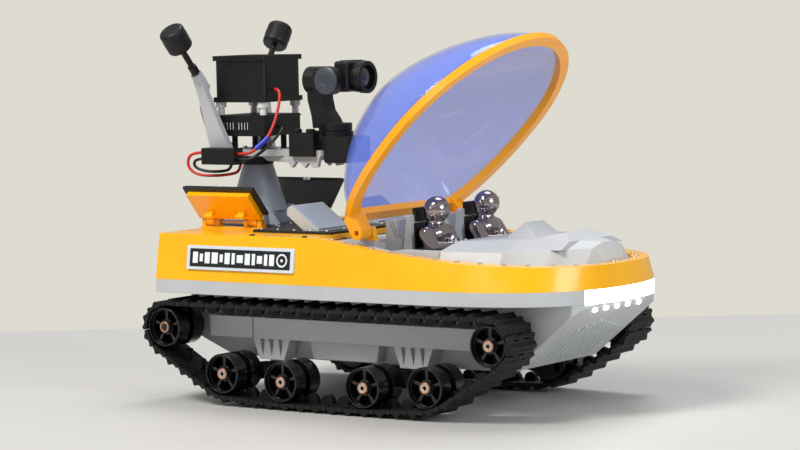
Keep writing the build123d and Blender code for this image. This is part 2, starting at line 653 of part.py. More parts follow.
def bogie():
    """Starboard rocker plate about its pivot at the origin."""
    outline = [(-27.2, -7.5), (-27.2, 1.5), (-9, 4), (9, 4), (27.2, 1.5), (27.2, -7.5), (22, -9), (9, -6),
               (-9, -6), (-22, -9)]
    plate = slab_xz(outline, -52, -49)
    plate -= rod((0, -48, 0), (0, -53, 0), SHAFT_R + RUNNING_GAP)
    return plate


def bogie_axle_offsets(pivot_x):
    """The two axles of a rocker, as (x, z) from its pivot."""
    outward = 1 if pivot_x > 0 else -1
    return [(outward * AXLE_SPREAD, OUTER_AXLE_Z - BOGIE_Z), (-outward * AXLE_SPREAD, INNER_AXLE_Z - BOGIE_Z)]


def suspension_bracket(pivot_x):
    """Starboard bracket: a ribbed block under the beam, a tongue and the rocker's pivot pin."""
    x = pivot_x
    block_part = slab_xz([(x - 13.5, 38), (x - 9, 26), (x + 9, 26), (x + 13.5, 38)], -56, -BELLY_HALF_W)
    for i in (-1, 0, 1):
        c = x + i * 6.6
        groove = slab_xz([(c - 1.9, 38), (c, 27.5), (c + 1.9, 38)], -57, -53)
        block_part -= groove
    tongue = block((x - 7, x + 7), (-48.5, -BELLY_HALF_W), (14.5, 26.5))
    pin = rod((x, -BELLY_HALF_W - 0.5, BOGIE_Z), (x, -52.3, BOGIE_Z), SHAFT_R)
    pin += rod((x, -52.3, BOGIE_Z), (x, -53.6, BOGIE_Z), 3.3)
    return block_part + tongue + pin


def side_beam():
    beam = block((-96, 96), (-56, -BELLY_HALF_W), (38, 50.5))
    beam -= block((-64.4, -63.6), (-57, -53), (37, 51))
    trough = [(-24.6, 38), (-22.5, 27.5), (22.5, 27.5), (24.6, 38)]
    fairing = slab_xz(trough, FAIRING_GAP - WHEEL_IN, -BELLY_HALF_W)
    return beam + fairing


def drive_motor():
    """Starboard gear motor inside the hull."""
    box = block((-116.8, -92), (-42.3, -33), (43, 62))
    can = rod((-103, -33, 52.5), (-103, -6, 52.5), 9.0)
    bore = rod((-END_WHEEL_X, -34, END_WHEEL_Z), (-END_WHEEL_X, -43, END_WHEEL_Z), SHAFT_R + RUNNING_GAP)
    return box + can - bore


# ---- track ----------------------------------------------------------------------------------

def track_circles():
    """Wheels that the pin line goes round, counter-clockwise seen from starboard."""
    radius = {"drive": END_PATH_R, "idler": END_PATH_R, "road_1": OUTER_PATH_R, "road_4": OUTER_PATH_R}
    return [(x, z, radius.get(name, ROAD_PATH_R)) for name, x, z in axle_places()]


def track_path():
    """The pin line as pieces: ('arc', centre, radius, from, sweep) and ('line', start, end)."""
    circles = track_circles()
    normals = []
    for (x1, z1, r1), (x2, z2, r2) in zip(circles, circles[1:] + circles[:1]):
        heading = math.atan2(z2 - z1, x2 - x1)
        normals.append(heading - math.acos((r1 - r2) / math.hypot(x2 - x1, z2 - z1)))
    pieces = []
    for i, (x, z, r) in enumerate(circles):
        start, end = normals[i - 1], normals[i]
        pieces.append(("arc", (x, z), r, start, (end - start) % (2 * math.pi)))
        nx, nz, nr = circles[(i + 1) % len(circles)]
        along = (math.cos(end), math.sin(end))
        pieces.append(("line", (x + r * along[0], z + r * along[1]),
                       (nx + nr * along[0], nz + nr * along[1])))
    return pieces


def piece_length(piece):
    return piece[2] * piece[4] if piece[0] == "arc" else math.dist(piece[1], piece[2])


def path_point(pieces, s):
    """The (x, z) point at a distance along the pin line."""
    s %= sum(piece_length(p) for p in pieces)
    for p in pieces:
        length = piece_length(p)
        if s <= length:
            break
        s -= length
    if p[0] == "arc":
        a = p[3] + s / p[2]
        return p[1][0] + p[2] * math.cos(a), p[1][1] + p[2] * math.sin(a)
    t = s / length
    return tuple(a + (b - a) * t for a, b in zip(p[1], p[2]))


def pin_places():
    """Pins an equal straight distance apart, closing on themselves after every link."""
    pieces = track_path()
    total = sum(piece_length(p) for p in pieces)

    def walk(chord):
        places = [0.0]
        for _ in range(LINK_COUNT):
            here = path_point(pieces, places[-1])
            low, high = places[-1] + chord, places[-1] + chord * 1.2
            for _ in range(30):
                mid = (low + high) / 2
                if math.dist(here, path_point(pieces, mid)) < chord:
                    low = mid
                else:
                    high = mid
            places.append(low)
        return places

    low, high = total / LINK_COUNT * 0.9, total / LINK_COUNT
    for _ in range(30):
        chord = (low + high) / 2
        if walk(chord)[-1] < total:
            low = chord
        else:
            high = chord
    return chord, [path_point(pieces, s) for s in walk(chord)[:-1]]


def link(chord):
    """One track link along local x, outside up: plate, knuckles, ground lug and guide horn."""
    half = chord / 2
    thick = (-LINK_PLATE_T / 2, LINK_PLATE_T / 2)
    plate = block((1.9 - half, half - 1.9), (-LINK_HALF_W, LINK_HALF_W), thick)
    fingers = {1: [(-13.3, -8.1), (-2.6, 2.6), (8.1, 13.3)], -1: [(-7.8, -2.9), (2.9, 7.8)]}
    for end, spans in fingers.items():
        for y0, y1 in spans:
            web = block(sorted((end * half, end * (half - 3))), (y0, y1), thick)
            plate += web + rod((end * half, y0, 0), (end * half, y1, 0), KNUCKLE_R)
        plate -= rod((end * half, -20, 0), (end * half, 20, 0), PIN_R + RUNNING_GAP)
    lug = slab_xz([(-3.2, 0.5), (-0.5, LUG_H), (0.5, LUG_H), (3.2, 0.5)], -LINK_HALF_W, LINK_HALF_W)
    horn = rod((0, -1.6, -HORN_DROP), (0, 1.6, -HORN_DROP), HORN_R)
    horn += block((-HORN_R, HORN_R), (-1.6, 1.6), (-HORN_DROP, 0))
    return plate + lug + horn


def track(side, chord, pins):
    """All links of one track, outside facing away from the wheels."""
    one = link(chord)
    links = []
    for (x1, z1), (x2, z2) in zip(pins, pins[1:] + pins[:1]):
        along = Vector(x2 - x1, 0, z2 - z1)
        outward = Vector(z2 - z1, 0, x1 - x2)
        here = Plane(origin=((x1 + x2) / 2, side * TRACK_Y, (z1 + z2) / 2), x_dir=along, z_dir=outward)
        links.append(here * one)
    return links


def track_pins(pins):
    rods = []
    for side in (-1, 1):
        for x, z in pins:
            y0, y1 = side * TRACK_Y - LINK_HALF_W, side * TRACK_Y + LINK_HALF_W
            rods.append(rod((x, y0, z), (x, y1, z), PIN_R))
    return rods


# ---- screws and leads -----------------------------------------------------------------------

def screw(x, y, z, r=1.25):
    head = Pos(x, y, z) * Cylinder(r, 0.9, align=ON_BASE)
    head = fillet(head.edges().sort_by(Axis.Z)[-1], 0.5)
    return head + rod((x, y, z - 2.0), (x, y, z + 0.2), r * 0.5)


def coaming_screws():
    """Screws along the gunwale, evenly spaced on the deck outline's bow curve."""
    rim = deck_plan(0, COAMING_W / 2).edges().filter_by(GeomType.BEZIER)
    heads = []
    for edge in rim:
        for i in range(14):
            p = edge @ (0.03 + i / 14)
            heads.append(screw(p.X, p.Y, sheer(p.X) - 0.05))
    return heads


def deck_screws():
    heads = coaming_screws()
    for s in (-1, 1):
        for x in (-62, -50, -38, -26, -14):
            heads.append(screw(x, s * 47.8, DECK_Z + 1.5, 1.1))
        for x, y in ((-64, 28), (-52, 8), (-16, 10), (-16, 28), (-72, 20), (-72, 6)):
            heads.append(screw(x, s * y, DECK_Z + 1.5, 1.1))
    return heads


LEAD_R = 0.9
RED_ROUTE = [(-80.05, -9.0, 183.0), (-76.0, -9.0, 183.0), (-73.0, -12.5, 176.0), (-73.5, -18.0, 162.0),
             (-76.5, -23.5, 152.0), (-83.0, -28.9, 145.5), (-88.5, -28.9, 144.8), (-92.95, -28.9, 144.8)]
BLACK_ROUTE = [(-80.75, -5.0, 160.5), (-76.8, -5.0, 160.5), (-74.5, -12.0, 156.0), (-77.0, -20.5, 148.5),
               (-83.0, -27.5, 142.0), (-88.5, -28.9, 141.4), (-92.95, -28.9, 141.4)]
RED_LOOP = [(-117.65, -29.0, 145.4), (-122.5, -29.0, 145.4), (-130.3, -29.6, 143.8), (-131.36, -30.2, 137.0),
            (-126.0, -29.5, 132.2), (-117.0, -26.5, 131.0), (-107.0, -20.5, 131.5), (-101.3, -15.5, 133.5),
            (-101.3, -15.5, 142.95)]
BLACK_LOOP = [(-117.65, -27.4, 141.6), (-121.5, -27.4, 141.6), (-128.0, -27.2, 140.4), (-129.0, -26.8, 136.6),
              (-123.0, -25.4, 133.9), (-114.0, -21.5, 133.2), (-107.2, -16.4, 134.6), (-107.2, -16.4, 142.95)]


def lead(route):
    """A tube along straight runs joined by arcs as large as the runs allow."""
    points = [Vector(*p) for p in route]
    radii = []
    for a, b, c in zip(points, points[1:], points[2:]):
        turn = math.radians((b - a).get_angle(c - b))
        radii.append(0.45 * min((b - a).length, (c - b).length) / math.tan(turn / 2))
    path = FilletPolyline(*points, radius=radii)
    return sweep(Plane(origin=path @ 0, z_dir=path % 0) * Circle(LEAD_R), path=path)


def inline_connector():
    body = block((-117.6, -93.0), (-33.6, -24.4), (138.3, 148.3))
    return chamfer(body.edges().filter_by(Axis.X), 0.6)


# ---- nameplates and inner parts -------------------------------------------------------------

def nameplate(side):
    tilt = math.degrees(math.atan2(LIP_HALF_W - DECK_HALF_W, LOFT_TOP_Z - LIP_Z[1]))
    z = 86.7
    face_y = LIP_HALF_W - (z - LIP_Z[1]) * math.tan(math.radians(tilt))
    plate = fillet(Box(78.5, 1.2, 14.2).edges().filter_by(Axis.Y), 0.8)
    plate = Rot(-tilt, 0, 0) * plate
    plate = Pos(-56.6, -face_y - 0.62, z) * plate
    return plate if side < 0 else mirror_y(plate)


def control_electronics():
    board = block((52, 100), (-28, 28), (33, 34.6))
    for x, y, w, d, h in ((62, -14, 14, 16, 6), (62, 12, 10, 18, 8), (84, 0, 20, 24, 4), (94, -20, 8, 10, 9)):
        board += block((x - w / 2, x + w / 2), (y - d / 2, y + d / 2), (34.6, 34.6 + h))
    for x in (55, 97):
        for y in (-25, 25):
            board += rod((x, y, 28.6), (x, y, 33.5), 2.0)
    return board


def hinge_pins():
    x, z = CANOPY_HINGE
    pins = []
    for s in (-1, 1):
        pins.append(rod((x, s * (LUG_Y - 2), z), (x, s * (EAR_Y + EAR_HALF_W - 3), z), CANOPY_PIN_R))
        panel_y, panel_z = s * PANEL_HINGE[0], PANEL_HINGE[1]
        pins.append(rod((-118.5, panel_y, panel_z), (-73.5, panel_y, panel_z), 1.0))
    return pins


def build_running_gear():
    for side_name, side in (("right", -1), ("left", 1)):
        turn = (lambda s: s) if side < 0 else mirror_y
        for name, x, z in axle_places():
            bore = SHAFT_R if name == "drive" else AXLE_R + RUNNING_GAP
            pieces = [turn(Pos(x, 0, z) * wheel(bore))]
            if name == "drive":
                shaft = rod((x, -34.5, z), (x, -WHEEL_OUT + 2.0, z), SHAFT_R)
                shaft += rod((x, -WHEEL_OUT + 2.0, z), (x, -WHEEL_OUT + 0.4, z), 2.5)
                pieces.append(turn(shaft))
            label = name + "_wheel_" + side_name
            save(label, *pieces)
        for place, pivot_x in (("rear", -BOGIE_X), ("front", BOGIE_X)):
            plate = Pos(pivot_x, 0, BOGIE_Z) * bogie()
            axles = []
            for dx, dz in bogie_axle_offsets(pivot_x):
                x, z = pivot_x + dx, BOGIE_Z + dz
                plate -= rod((x, -48, z), (x, -53, z), AXLE_R)
                axles.append(turn(Pos(x, 0, z) * axle(49.0)))
            save("bogie_" + place + "_" + side_name, turn(plate))
            save("bogie_axles_" + place + "_" + side_name, *axles)


def build():
    save("lower_hull", lower_hull())
    save("upper_hull", upper_hull())
    save("cockpit_deck", cockpit_deck())
    save("headlight_bar", light_space(0.2))
    save("pilot_seats", seat(-1), seat(1))
    save("pilot_figures", pilot(-1), pilot(1))
    save("canopy_bubble", canopy_bubble())
    save("canopy_frame", canopy_frame())
    save("rear_deck_plate", rear_deck_plate())
    save("pedestal", pedestal())
    save("head_plate", head_plate())
    save("antennas", antenna(-1), antenna(1))
    save("fan_frame", fan_frame())
    save("fan_rotor", fan_rotor())
    save("fan_standoffs", *fan_standoffs())
    save("video_transmitter", video_transmitter())
    for side_name, side in (("right", -1), ("left", 1)):
        save("panel_tray_" + side_name, panel_tray(side))
        save("panel_plate_" + side_name, panel_plate(side))
    save("hinge_brackets", hinge_bracket(-1), hinge_bracket(1), *canopy_lugs())
    save("vent_pods", vent_pod(-1), vent_pod(1))
    save("gimbal_base", gimbal_base())
    save("gimbal_yaw_arm", gimbal_yaw_arm())
    save("gimbal_roll_arm", gimbal_roll_arm())
    save("gimbal_camera", gimbal_camera())
    save("side_beams", *pair(side_beam()))
    brackets = []
    for pivot_x in (-BOGIE_X, BOGIE_X):
        brackets += pair(suspension_bracket(pivot_x))
    save("suspension_brackets", *brackets)
    save("drive_motors", *pair(drive_motor()))
    idler = Pos(END_WHEEL_X, 0, END_WHEEL_Z) * axle(42.0)
    save("idler_axles", *pair(idler))
    save("battery", fillet(block((-42, 34), (-24, 24), (28.6, 52)).edges(), 2.0))
    save("control_electronics", control_electronics())
    save("hinge_pins", *hinge_pins())
    save("nameplates", nameplate(-1), nameplate(1))
    save("deck_screws", *deck_screws())
    save("power_leads", lead(RED_ROUTE), lead(BLACK_ROUTE), lead(RED_LOOP), lead(BLACK_LOOP))
    save("inline_connector", inline_connector())
    build_running_gear()
    chord, pins = pin_places()
    save("track_right", *track(-1, chord, pins))
    save("track_left", *track(1, chord, pins))
    save("track_pins", *track_pins(pins))


build()
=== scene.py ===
import math

import bmesh
import bpy
from mathutils import Matrix, Vector


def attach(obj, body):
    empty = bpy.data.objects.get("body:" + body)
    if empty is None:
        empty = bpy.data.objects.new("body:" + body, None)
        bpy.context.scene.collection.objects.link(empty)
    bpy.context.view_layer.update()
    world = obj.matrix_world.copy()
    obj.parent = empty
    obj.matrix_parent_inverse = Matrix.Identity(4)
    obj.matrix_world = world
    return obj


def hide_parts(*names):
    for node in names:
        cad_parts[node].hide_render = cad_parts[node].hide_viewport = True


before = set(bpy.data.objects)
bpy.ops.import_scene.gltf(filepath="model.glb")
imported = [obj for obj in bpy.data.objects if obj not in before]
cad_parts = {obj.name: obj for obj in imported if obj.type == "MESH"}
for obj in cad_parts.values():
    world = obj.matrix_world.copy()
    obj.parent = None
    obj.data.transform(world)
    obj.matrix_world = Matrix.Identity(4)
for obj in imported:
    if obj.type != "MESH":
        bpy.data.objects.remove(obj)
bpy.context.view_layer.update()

# ---- places --------------------------------------------------------------------------------
SHIFT = -14.575            # the row's origin, from the middle of the wheelbase, in millimetres
CANOPY_REST = (0.0, 102.0)
CANOPY_ANGLE = 46.0
SIDES = (("right", -1), ("left", 1))
AHEAD = (1, 0, 0)
UP = (0, 0, 1)


def P(x, y, z):
    """A point laid out from the middle of the wheelbase, in millimetres, in the row frame."""
    return Vector(((x + SHIFT) / 1000, y / 1000, z / 1000))


def axes_at(origin, x_dir, z_dir):
    """A matrix that places a piece made in millimetres at an origin, with its x and z axes given."""
    z = Vector(z_dir).normalized()
    x = Vector(x_dir)
    x = (x - z * x.dot(z)).normalized()
    turn = Matrix((x, z.cross(x), z)).transposed().to_4x4()
    return Matrix.Translation(P(*origin)) @ turn @ Matrix.Scale(0.001, 4)


def open_canopy():
    """Where a piece drawn on the canopy lying flat goes while the canopy stands open."""
    x, z = CANOPY_REST
    turn = Matrix.Rotation(math.radians(-CANOPY_ANGLE), 4, "Y")
    return Matrix.Translation(P(x, 0, z)) @ turn @ Matrix.Scale(0.001, 4)


# ---- materials -----------------------------------------------------------------------------

class Nodes:
    """A material's node tree, with short calls to add and join nodes."""

    def __init__(self, name):
        self.material = bpy.data.materials.new(name)
        self.material.use_nodes = True
        self.tree = self.material.node_tree
        self.shader = self.tree.nodes["Principled BSDF"]
        self.place = self.add("ShaderNodeTexCoord").outputs["Object"]

    def add(self, kind, **values):
        node = self.tree.nodes.new(kind)
        for key, value in values.items():
            setattr(node, key, value)
        return node

    def join(self, a, b):
        self.tree.links.new(a, b)

    def noise(self, scale, detail=3.0, stretch=None):
        node = self.add("ShaderNodeTexNoise")
        node.inputs["Scale"].default_value = scale
        node.inputs["Detail"].default_value = detail
        place = self.place
        if stretch:
            mapping = self.add("ShaderNodeMapping")
            mapping.inputs["Scale"].default_value = stretch
            self.join(place, mapping.inputs["Vector"])
            place = mapping.outputs["Vector"]
        self.join(place, node.inputs["Vector"])
        return node.outputs["Fac"]

    def ranged(self, value, low, high, from_low=0.3, from_high=0.7):
        node = self.add("ShaderNodeMapRange")
        sockets = {"From Min": from_low, "From Max": from_high, "To Min": low, "To Max": high}
        for key, number in sockets.items():
            node.inputs[key].default_value = number
        self.join(value, node.inputs["Value"])
        return node.outputs["Result"]

    def mixed(self, factor, a, b):
        node = self.add("ShaderNodeMix", data_type="RGBA", blend_type="MIX")
        for socket, value in ((node.inputs[0], factor), (node.inputs[6], a), (node.inputs[7], b)):
            if isinstance(value, bpy.types.NodeSocket):
                self.join(value, socket)
            elif isinstance(value, (tuple, list)):
                socket.default_value = (*value[:3], 1.0)
            else:
                socket.default_value = value
        return node.outputs[2]

    def edge_highlight_and_wear(self, radius):
        """A normal softened along edges, and a mask near 1 along edges and near 0 on flat faces, which sets
        where a painted edge highlight and rubbed wear go.
        """
        bevel = self.add("ShaderNodeBevel", samples=4)
        bevel.inputs["Radius"].default_value = radius
        geometry = self.add("ShaderNodeNewGeometry")
        dot = self.add("ShaderNodeVectorMath", operation="DOT_PRODUCT")
        self.join(bevel.outputs["Normal"], dot.inputs[0])
        self.join(geometry.outputs["Normal"], dot.inputs[1])
        return bevel.outputs["Normal"], self.ranged(dot.outputs["Value"], 1.0, 0.0, 0.80, 0.99)

    def bump(self, height, strength, distance, normal=None):
        node = self.add("ShaderNodeBump")
        node.inputs["Strength"].default_value = strength
        node.inputs["Distance"].default_value = distance
        self.join(height, node.inputs["Height"])
        if normal is not None:
            self.join(normal, node.inputs["Normal"])
        self.join(node.outputs["Normal"], self.shader.inputs["Normal"])


def finish_of(name, colour, rough=(0.35, 0.5), vary=0.12, grain=900.0, depth=0.12, wear_and_light=0.35,
              worn_and_lit=None, metal=0.0, coat=0.0, edge=0.0004, stretch=None):
    """A moulded or machined surface: cloudy colour, fine grain, softened edges with a lighter colour painted
    along them in patches (a painted edge highlight, partly rubbed wear), uneven gloss.
    """
    n = Nodes(name)
    cloud = n.noise(28.0, 4.0)
    fine = n.noise(grain, 2.0, stretch)
    dark = tuple(c * (1 - vary) for c in colour)
    light = tuple(min(1.0, c * (1 + vary * 0.6)) for c in colour)
    tint = n.mixed(n.ranged(cloud, 0.0, 1.0), dark, light)
    normal, edge_mask = n.edge_highlight_and_wear(edge)
    # Painted edge highlight and rubbed wear: a lighter colour mixed in along the edges, in patches set by
    # noise.
    wear_and_highlight = n.add("ShaderNodeMath", operation="MULTIPLY")
    n.join(edge_mask, wear_and_highlight.inputs[0])
    n.join(n.ranged(n.noise(160.0), 0.25 * wear_and_light, wear_and_light), wear_and_highlight.inputs[1])
    # The lighter edge colour, a painted highlight as well as wear.
    worn_and_lit = worn_and_lit or tuple(min(1.0, c * 1.25 + 0.06) for c in colour)
    n.join(n.mixed(wear_and_highlight.outputs[0], tint, worn_and_lit), n.shader.inputs["Base Color"])
    n.join(n.ranged(n.noise(70.0, 5.0), *rough), n.shader.inputs["Roughness"])
    n.shader.inputs["Metallic"].default_value = metal
    n.shader.inputs["Coat Weight"].default_value = coat
    n.shader.inputs["Coat Roughness"].default_value = 0.12
    n.bump(fine, depth, 0.0002, normal)
    return n.material


# A colour listed after the numbers is the lighter edge colour: a painted edge highlight and rubbed wear.
MATERIALS = {
    "grey": finish_of("grey_plastic", (0.50, 0.52, 0.54), (0.34, 0.48), 0.06, 1400.0, 0.10, 0.25),
    "pod": finish_of("pod_grey", (0.36, 0.41, 0.49), (0.32, 0.45), 0.06, 1400.0, 0.10, 0.25),
    "yellow": finish_of("yellow_plastic", (1.0, 0.47, 0.0), (0.22, 0.34), 0.05, 1200.0, 0.06, 0.35,
                        (1.0, 0.62, 0.08), coat=0.25),
    "orange": finish_of("ring_yellow", (1.0, 0.40, 0.004), (0.26, 0.38), 0.05, 1200.0, 0.06, 0.35,
                        (1.0, 0.55, 0.06), coat=0.2),
    "chrome": finish_of("mirror_chrome", (0.40, 0.36, 0.37), (0.05, 0.11), 0.05, 300.0, 0.02, 0.2,
                        (0.9, 0.86, 0.84), metal=1.0, edge=0.0002),
    "plate": finish_of("dark_plate", (0.018, 0.018, 0.020), (0.30, 0.42), 0.2, 2200.0, 0.15, 0.3,
                       (0.10, 0.10, 0.11)),
    "steel": finish_of("steel_fasteners", (0.58, 0.55, 0.52), (0.24, 0.40), 0.12, 2400.0, 0.15, 0.5,
                       (0.85, 0.83, 0.80), metal=1.0, edge=0.0002, stretch=(1, 6, 1)),
    "copper": finish_of("copper_washers", (0.78, 0.38, 0.22), (0.22, 0.36), 0.15, 2400.0, 0.12, 0.5,
                        (0.95, 0.62, 0.45), metal=1.0, edge=0.0002),
    "label": finish_of("label_frame", (0.66, 0.72, 0.80), (0.30, 0.42), 0.04, 1500.0, 0.08, 0.2),
    "label_field": finish_of("label_field", (0.010, 0.010, 0.012), (0.30, 0.40), 0.2, 1500.0, 0.08, 0.1),
    "label_mark": finish_of("label_mark", (0.82, 0.86, 0.90), (0.35, 0.45), 0.03, 1500.0, 0.05, 0.1),
    "black": finish_of("black_plastic", (0.007, 0.007, 0.008), (0.34, 0.50), 0.25, 1600.0, 0.15, 0.25,
                       (0.035, 0.035, 0.038)),
    "slate": finish_of("slate_plastic", (0.045, 0.055, 0.072), (0.30, 0.42), 0.15, 1500.0, 0.10, 0.3,
                       (0.13, 0.15, 0.18)),
    "nylon": finish_of("nylon", (0.72, 0.73, 0.70), (0.35, 0.48), 0.05, 1500.0, 0.08, 0.2),
    "wheel": finish_of("wheel_plastic", (0.004, 0.004, 0.005), (0.16, 0.30), 0.3, 900.0, 0.05, 0.3,
                       (0.03, 0.03, 0.032), coat=0.4),
    "track": finish_of("track_plastic", (0.005, 0.005, 0.0055), (0.46, 0.64), 0.3, 1300.0, 0.3, 0.3,
                       (0.030, 0.029, 0.028)),
    "red": finish_of("red_silicone", (0.62, 0.02, 0.015), (0.34, 0.48), 0.1, 1800.0, 0.08, 0.1),
    "blue": finish_of("blue_sleeve", (0.02, 0.05, 0.55), (0.30, 0.42), 0.1, 1800.0, 0.08, 0.1),
    "wire_black": finish_of("black_silicone", (0.012, 0.012, 0.012), (0.34, 0.48), 0.1, 1800.0, 0.08, 0.1),
    "motor": finish_of("motor_metal", (0.55, 0.55, 0.56), (0.25, 0.4), 0.1, 2400.0, 0.1, 0.3, metal=1.0),
    "wrap": finish_of("battery_wrap", (0.02, 0.05, 0.30), (0.22, 0.34), 0.08, 700.0, 0.1, 0.2),
    "board": finish_of("circuit_board", (0.01, 0.12, 0.04), (0.28, 0.4), 0.1, 2400.0, 0.1, 0.3),
}


def glazing(name, colour, alpha, rough):
    """Tinted clear acrylic: even tint with faint flow marks in its gloss."""
    n = Nodes(name)
    thick = n.ranged(n.noise(9.0, 2.0), 0.0, 1.0)
    n.join(n.mixed(thick, tuple(c * 0.93 for c in colour), colour), n.shader.inputs["Base Color"])
    n.join(n.ranged(n.noise(24.0, 3.0), rough, rough * 2.2), n.shader.inputs["Roughness"])
    n.shader.inputs["Alpha"].default_value = alpha
    n.shader.inputs["Coat Weight"].default_value = 0.6
    n.shader.inputs["Coat Roughness"].default_value = 0.03
    n.bump(n.noise(60.0, 2.0), 0.02, 0.0002)
    return n.material


def glowing(name, colour, strength):
    """A lit, frosted lens with a slightly uneven glow."""
    n = Nodes(name)
    n.join(n.mixed(n.ranged(n.noise(220.0), 0.0, 1.0), tuple(c * 0.9 for c in colour), colour),
           n.shader.inputs["Emission Color"])
    n.shader.inputs["Base Color"].default_value = (0.9, 0.92, 0.95, 1)
    n.shader.inputs["Emission Strength"].default_value = strength
    n.join(n.ranged(n.noise(400.0), 0.25, 0.4), n.shader.inputs["Roughness"])
    return n.material


MATERIALS["glazing"] = glazing("blue_glazing", (0.16, 0.27, 0.95), 0.41, 0.04)
MATERIALS["lamp"] = glowing("lamp_lens", (1.0, 0.97, 0.95), 9.0)
MATERIALS["led"] = glowing("led_lens", (1.0, 0.98, 0.94), 14.0)
MATERIALS["lens"] = finish_of("lens_glass", (0.010, 0.008, 0.016), (0.03, 0.06), 0.2, 200.0, 0.01, 0.05,
                              (0.02, 0.02, 0.03), coat=1.0)

for dark in ("black", "track", "wheel", "plate"):
    shader = MATERIALS[dark].node_tree.nodes["Principled BSDF"]
    shader.inputs["Specular IOR Level"].default_value = 0.32

NODES_BY_FINISH = {
    "grey": ("lower_hull", "side_beams", "suspension_brackets", "cockpit_deck", "pilot_seats", "head_plate",
             "vent_pods"),
    "pod": ("pedestal",),
    "yellow": ("upper_hull", "panel_tray_left", "panel_tray_right", "hinge_brackets"),
    "orange": ("canopy_frame",),
    "lamp": ("headlight_bar",),
    "plate": ("rear_deck_plate", "panel_plate_left", "panel_plate_right", "track_pins"),
    "steel": ("deck_screws", "hinge_pins", "idler_axles"),
    "label": ("nameplates",),
    "black": ("fan_frame", "fan_rotor", "video_transmitter", "antennas", "gimbal_base", "gimbal_yaw_arm",
              "gimbal_roll_arm", "gimbal_camera", "inline_connector"),
    "nylon": ("fan_standoffs",),
    "track": ("track_left", "track_right"),
    "red": ("power_leads",),
    "motor": ("drive_motors",),
    "wrap": ("battery",),
    "board": ("control_electronics",),
    "glazing": ("canopy_bubble",),
    "chrome": ("pilot_figures",),
}
FINISH_OF_NODE = {node: finish for finish, nodes in NODES_BY_FINISH.items() for node in nodes}
for name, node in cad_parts.items():
    if "_wheel_" in name:
        finish = "wheel"
    elif name.startswith("bogie_axles"):
        finish = "steel"
    elif name.startswith("bogie"):
        finish = "black"
    else:
        finish = FINISH_OF_NODE[name]
    node.data.materials.clear()
    node.data.materials.append(MATERIALS[finish])


# ---- piece makers --------------------------------------------------------------------------

def keep(name, mesh, finish, body, smooth):
    """Make a mesh into a piece that rides on a body."""
    piece = bpy.data.objects.new(name, mesh)
    bpy.context.scene.collection.objects.link(piece)
    mesh.materials.append(MATERIALS[finish])
    for polygon in mesh.polygons:
        polygon.use_smooth = smooth
    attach(piece, body)
    return piece


def from_bmesh(name, bm, finish, body, smooth=True):
    """A piece with the faces built so far, turned to look outward."""
    bmesh.ops.recalc_face_normals(bm, faces=bm.faces)
    mesh = bpy.data.meshes.new(name)
    bm.to_mesh(mesh)
    bm.free()
    return keep(name, mesh, finish, body, smooth)


def add_box(bm, size, place, bevel=0.3, segments=2):
    """A softly bevelled bar, in millimetres before place."""
    made = bmesh.ops.create_cube(bm, size=1.0, matrix=Matrix.Diagonal((*size, 1.0)))
    corners = made["verts"]
    edges = {e for v in corners for e in v.link_edges}
    done = bmesh.ops.bevel(bm, geom=list(edges), offset=bevel, segments=segments, affect="EDGES", profile=0.6)
    points = {v for f in done["faces"] for v in f.verts} | {v for v in corners if v.is_valid}
    bmesh.ops.transform(bm, matrix=place, verts=list(points))


def add_turned(bm, profile, place, steps=40):
    """A round piece from its (radius, height) profile, turned about z and closed at both ends."""
    rings = []
    for r, h in profile:
        turns = [2 * math.pi * i / steps for i in range(steps)]
        rings.append([bm.verts.new(place @ Vector((r * math.cos(t), r * math.sin(t), h))) for t in turns])
    for low, high in zip(rings, rings[1:]):
        for i in range(steps):
            j = (i + 1) % steps
            bm.faces.new((low[i], low[j], high[j], high[i]))
    bm.faces.new(rings[0][::-1])
    bm.faces.new(rings[-1])


def sharp_by_angle(piece, degrees=35):
    """Keep crisp edges where faces meet at more than an angle."""
    for edge in piece.data.edges:
        edge.use_edge_sharp = False
    bm = bmesh.new()
    bm.from_mesh(piece.data)
    for edge in bm.edges:
        if len(edge.link_faces) == 2 and edge.calc_face_angle() > math.radians(degrees):
            edge.smooth = False
    bm.to_mesh(piece.data)
    bm.free()


def tube(name, points, radius, finish, body, cyclic=False, matrix=None):
    """A round cord or bead along a smooth spline with these control points, in millimetres."""
    curve = bpy.data.curves.new(name, "CURVE")
    curve.dimensions = "3D"
    curve.bevel_depth = radius / 1000
    curve.bevel_resolution = 4
    curve.resolution_u = 12
    curve.use_fill_caps = True
    spline = curve.splines.new("NURBS")
    spline.points.add(len(points) - 1)
    for p, co in zip(spline.points, points):
        at = P(*co) if matrix is None else matrix @ Vector(co)
        p.co = (*at, 1.0)
    spline.order_u = 3
    spline.use_endpoint_u = not cyclic
    spline.use_cyclic_u = cyclic
    piece = bpy.data.objects.new(name, curve)
    bpy.context.scene.collection.objects.link(piece)
    curve.materials.append(MATERIALS[finish])
    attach(piece, body)
    return piece


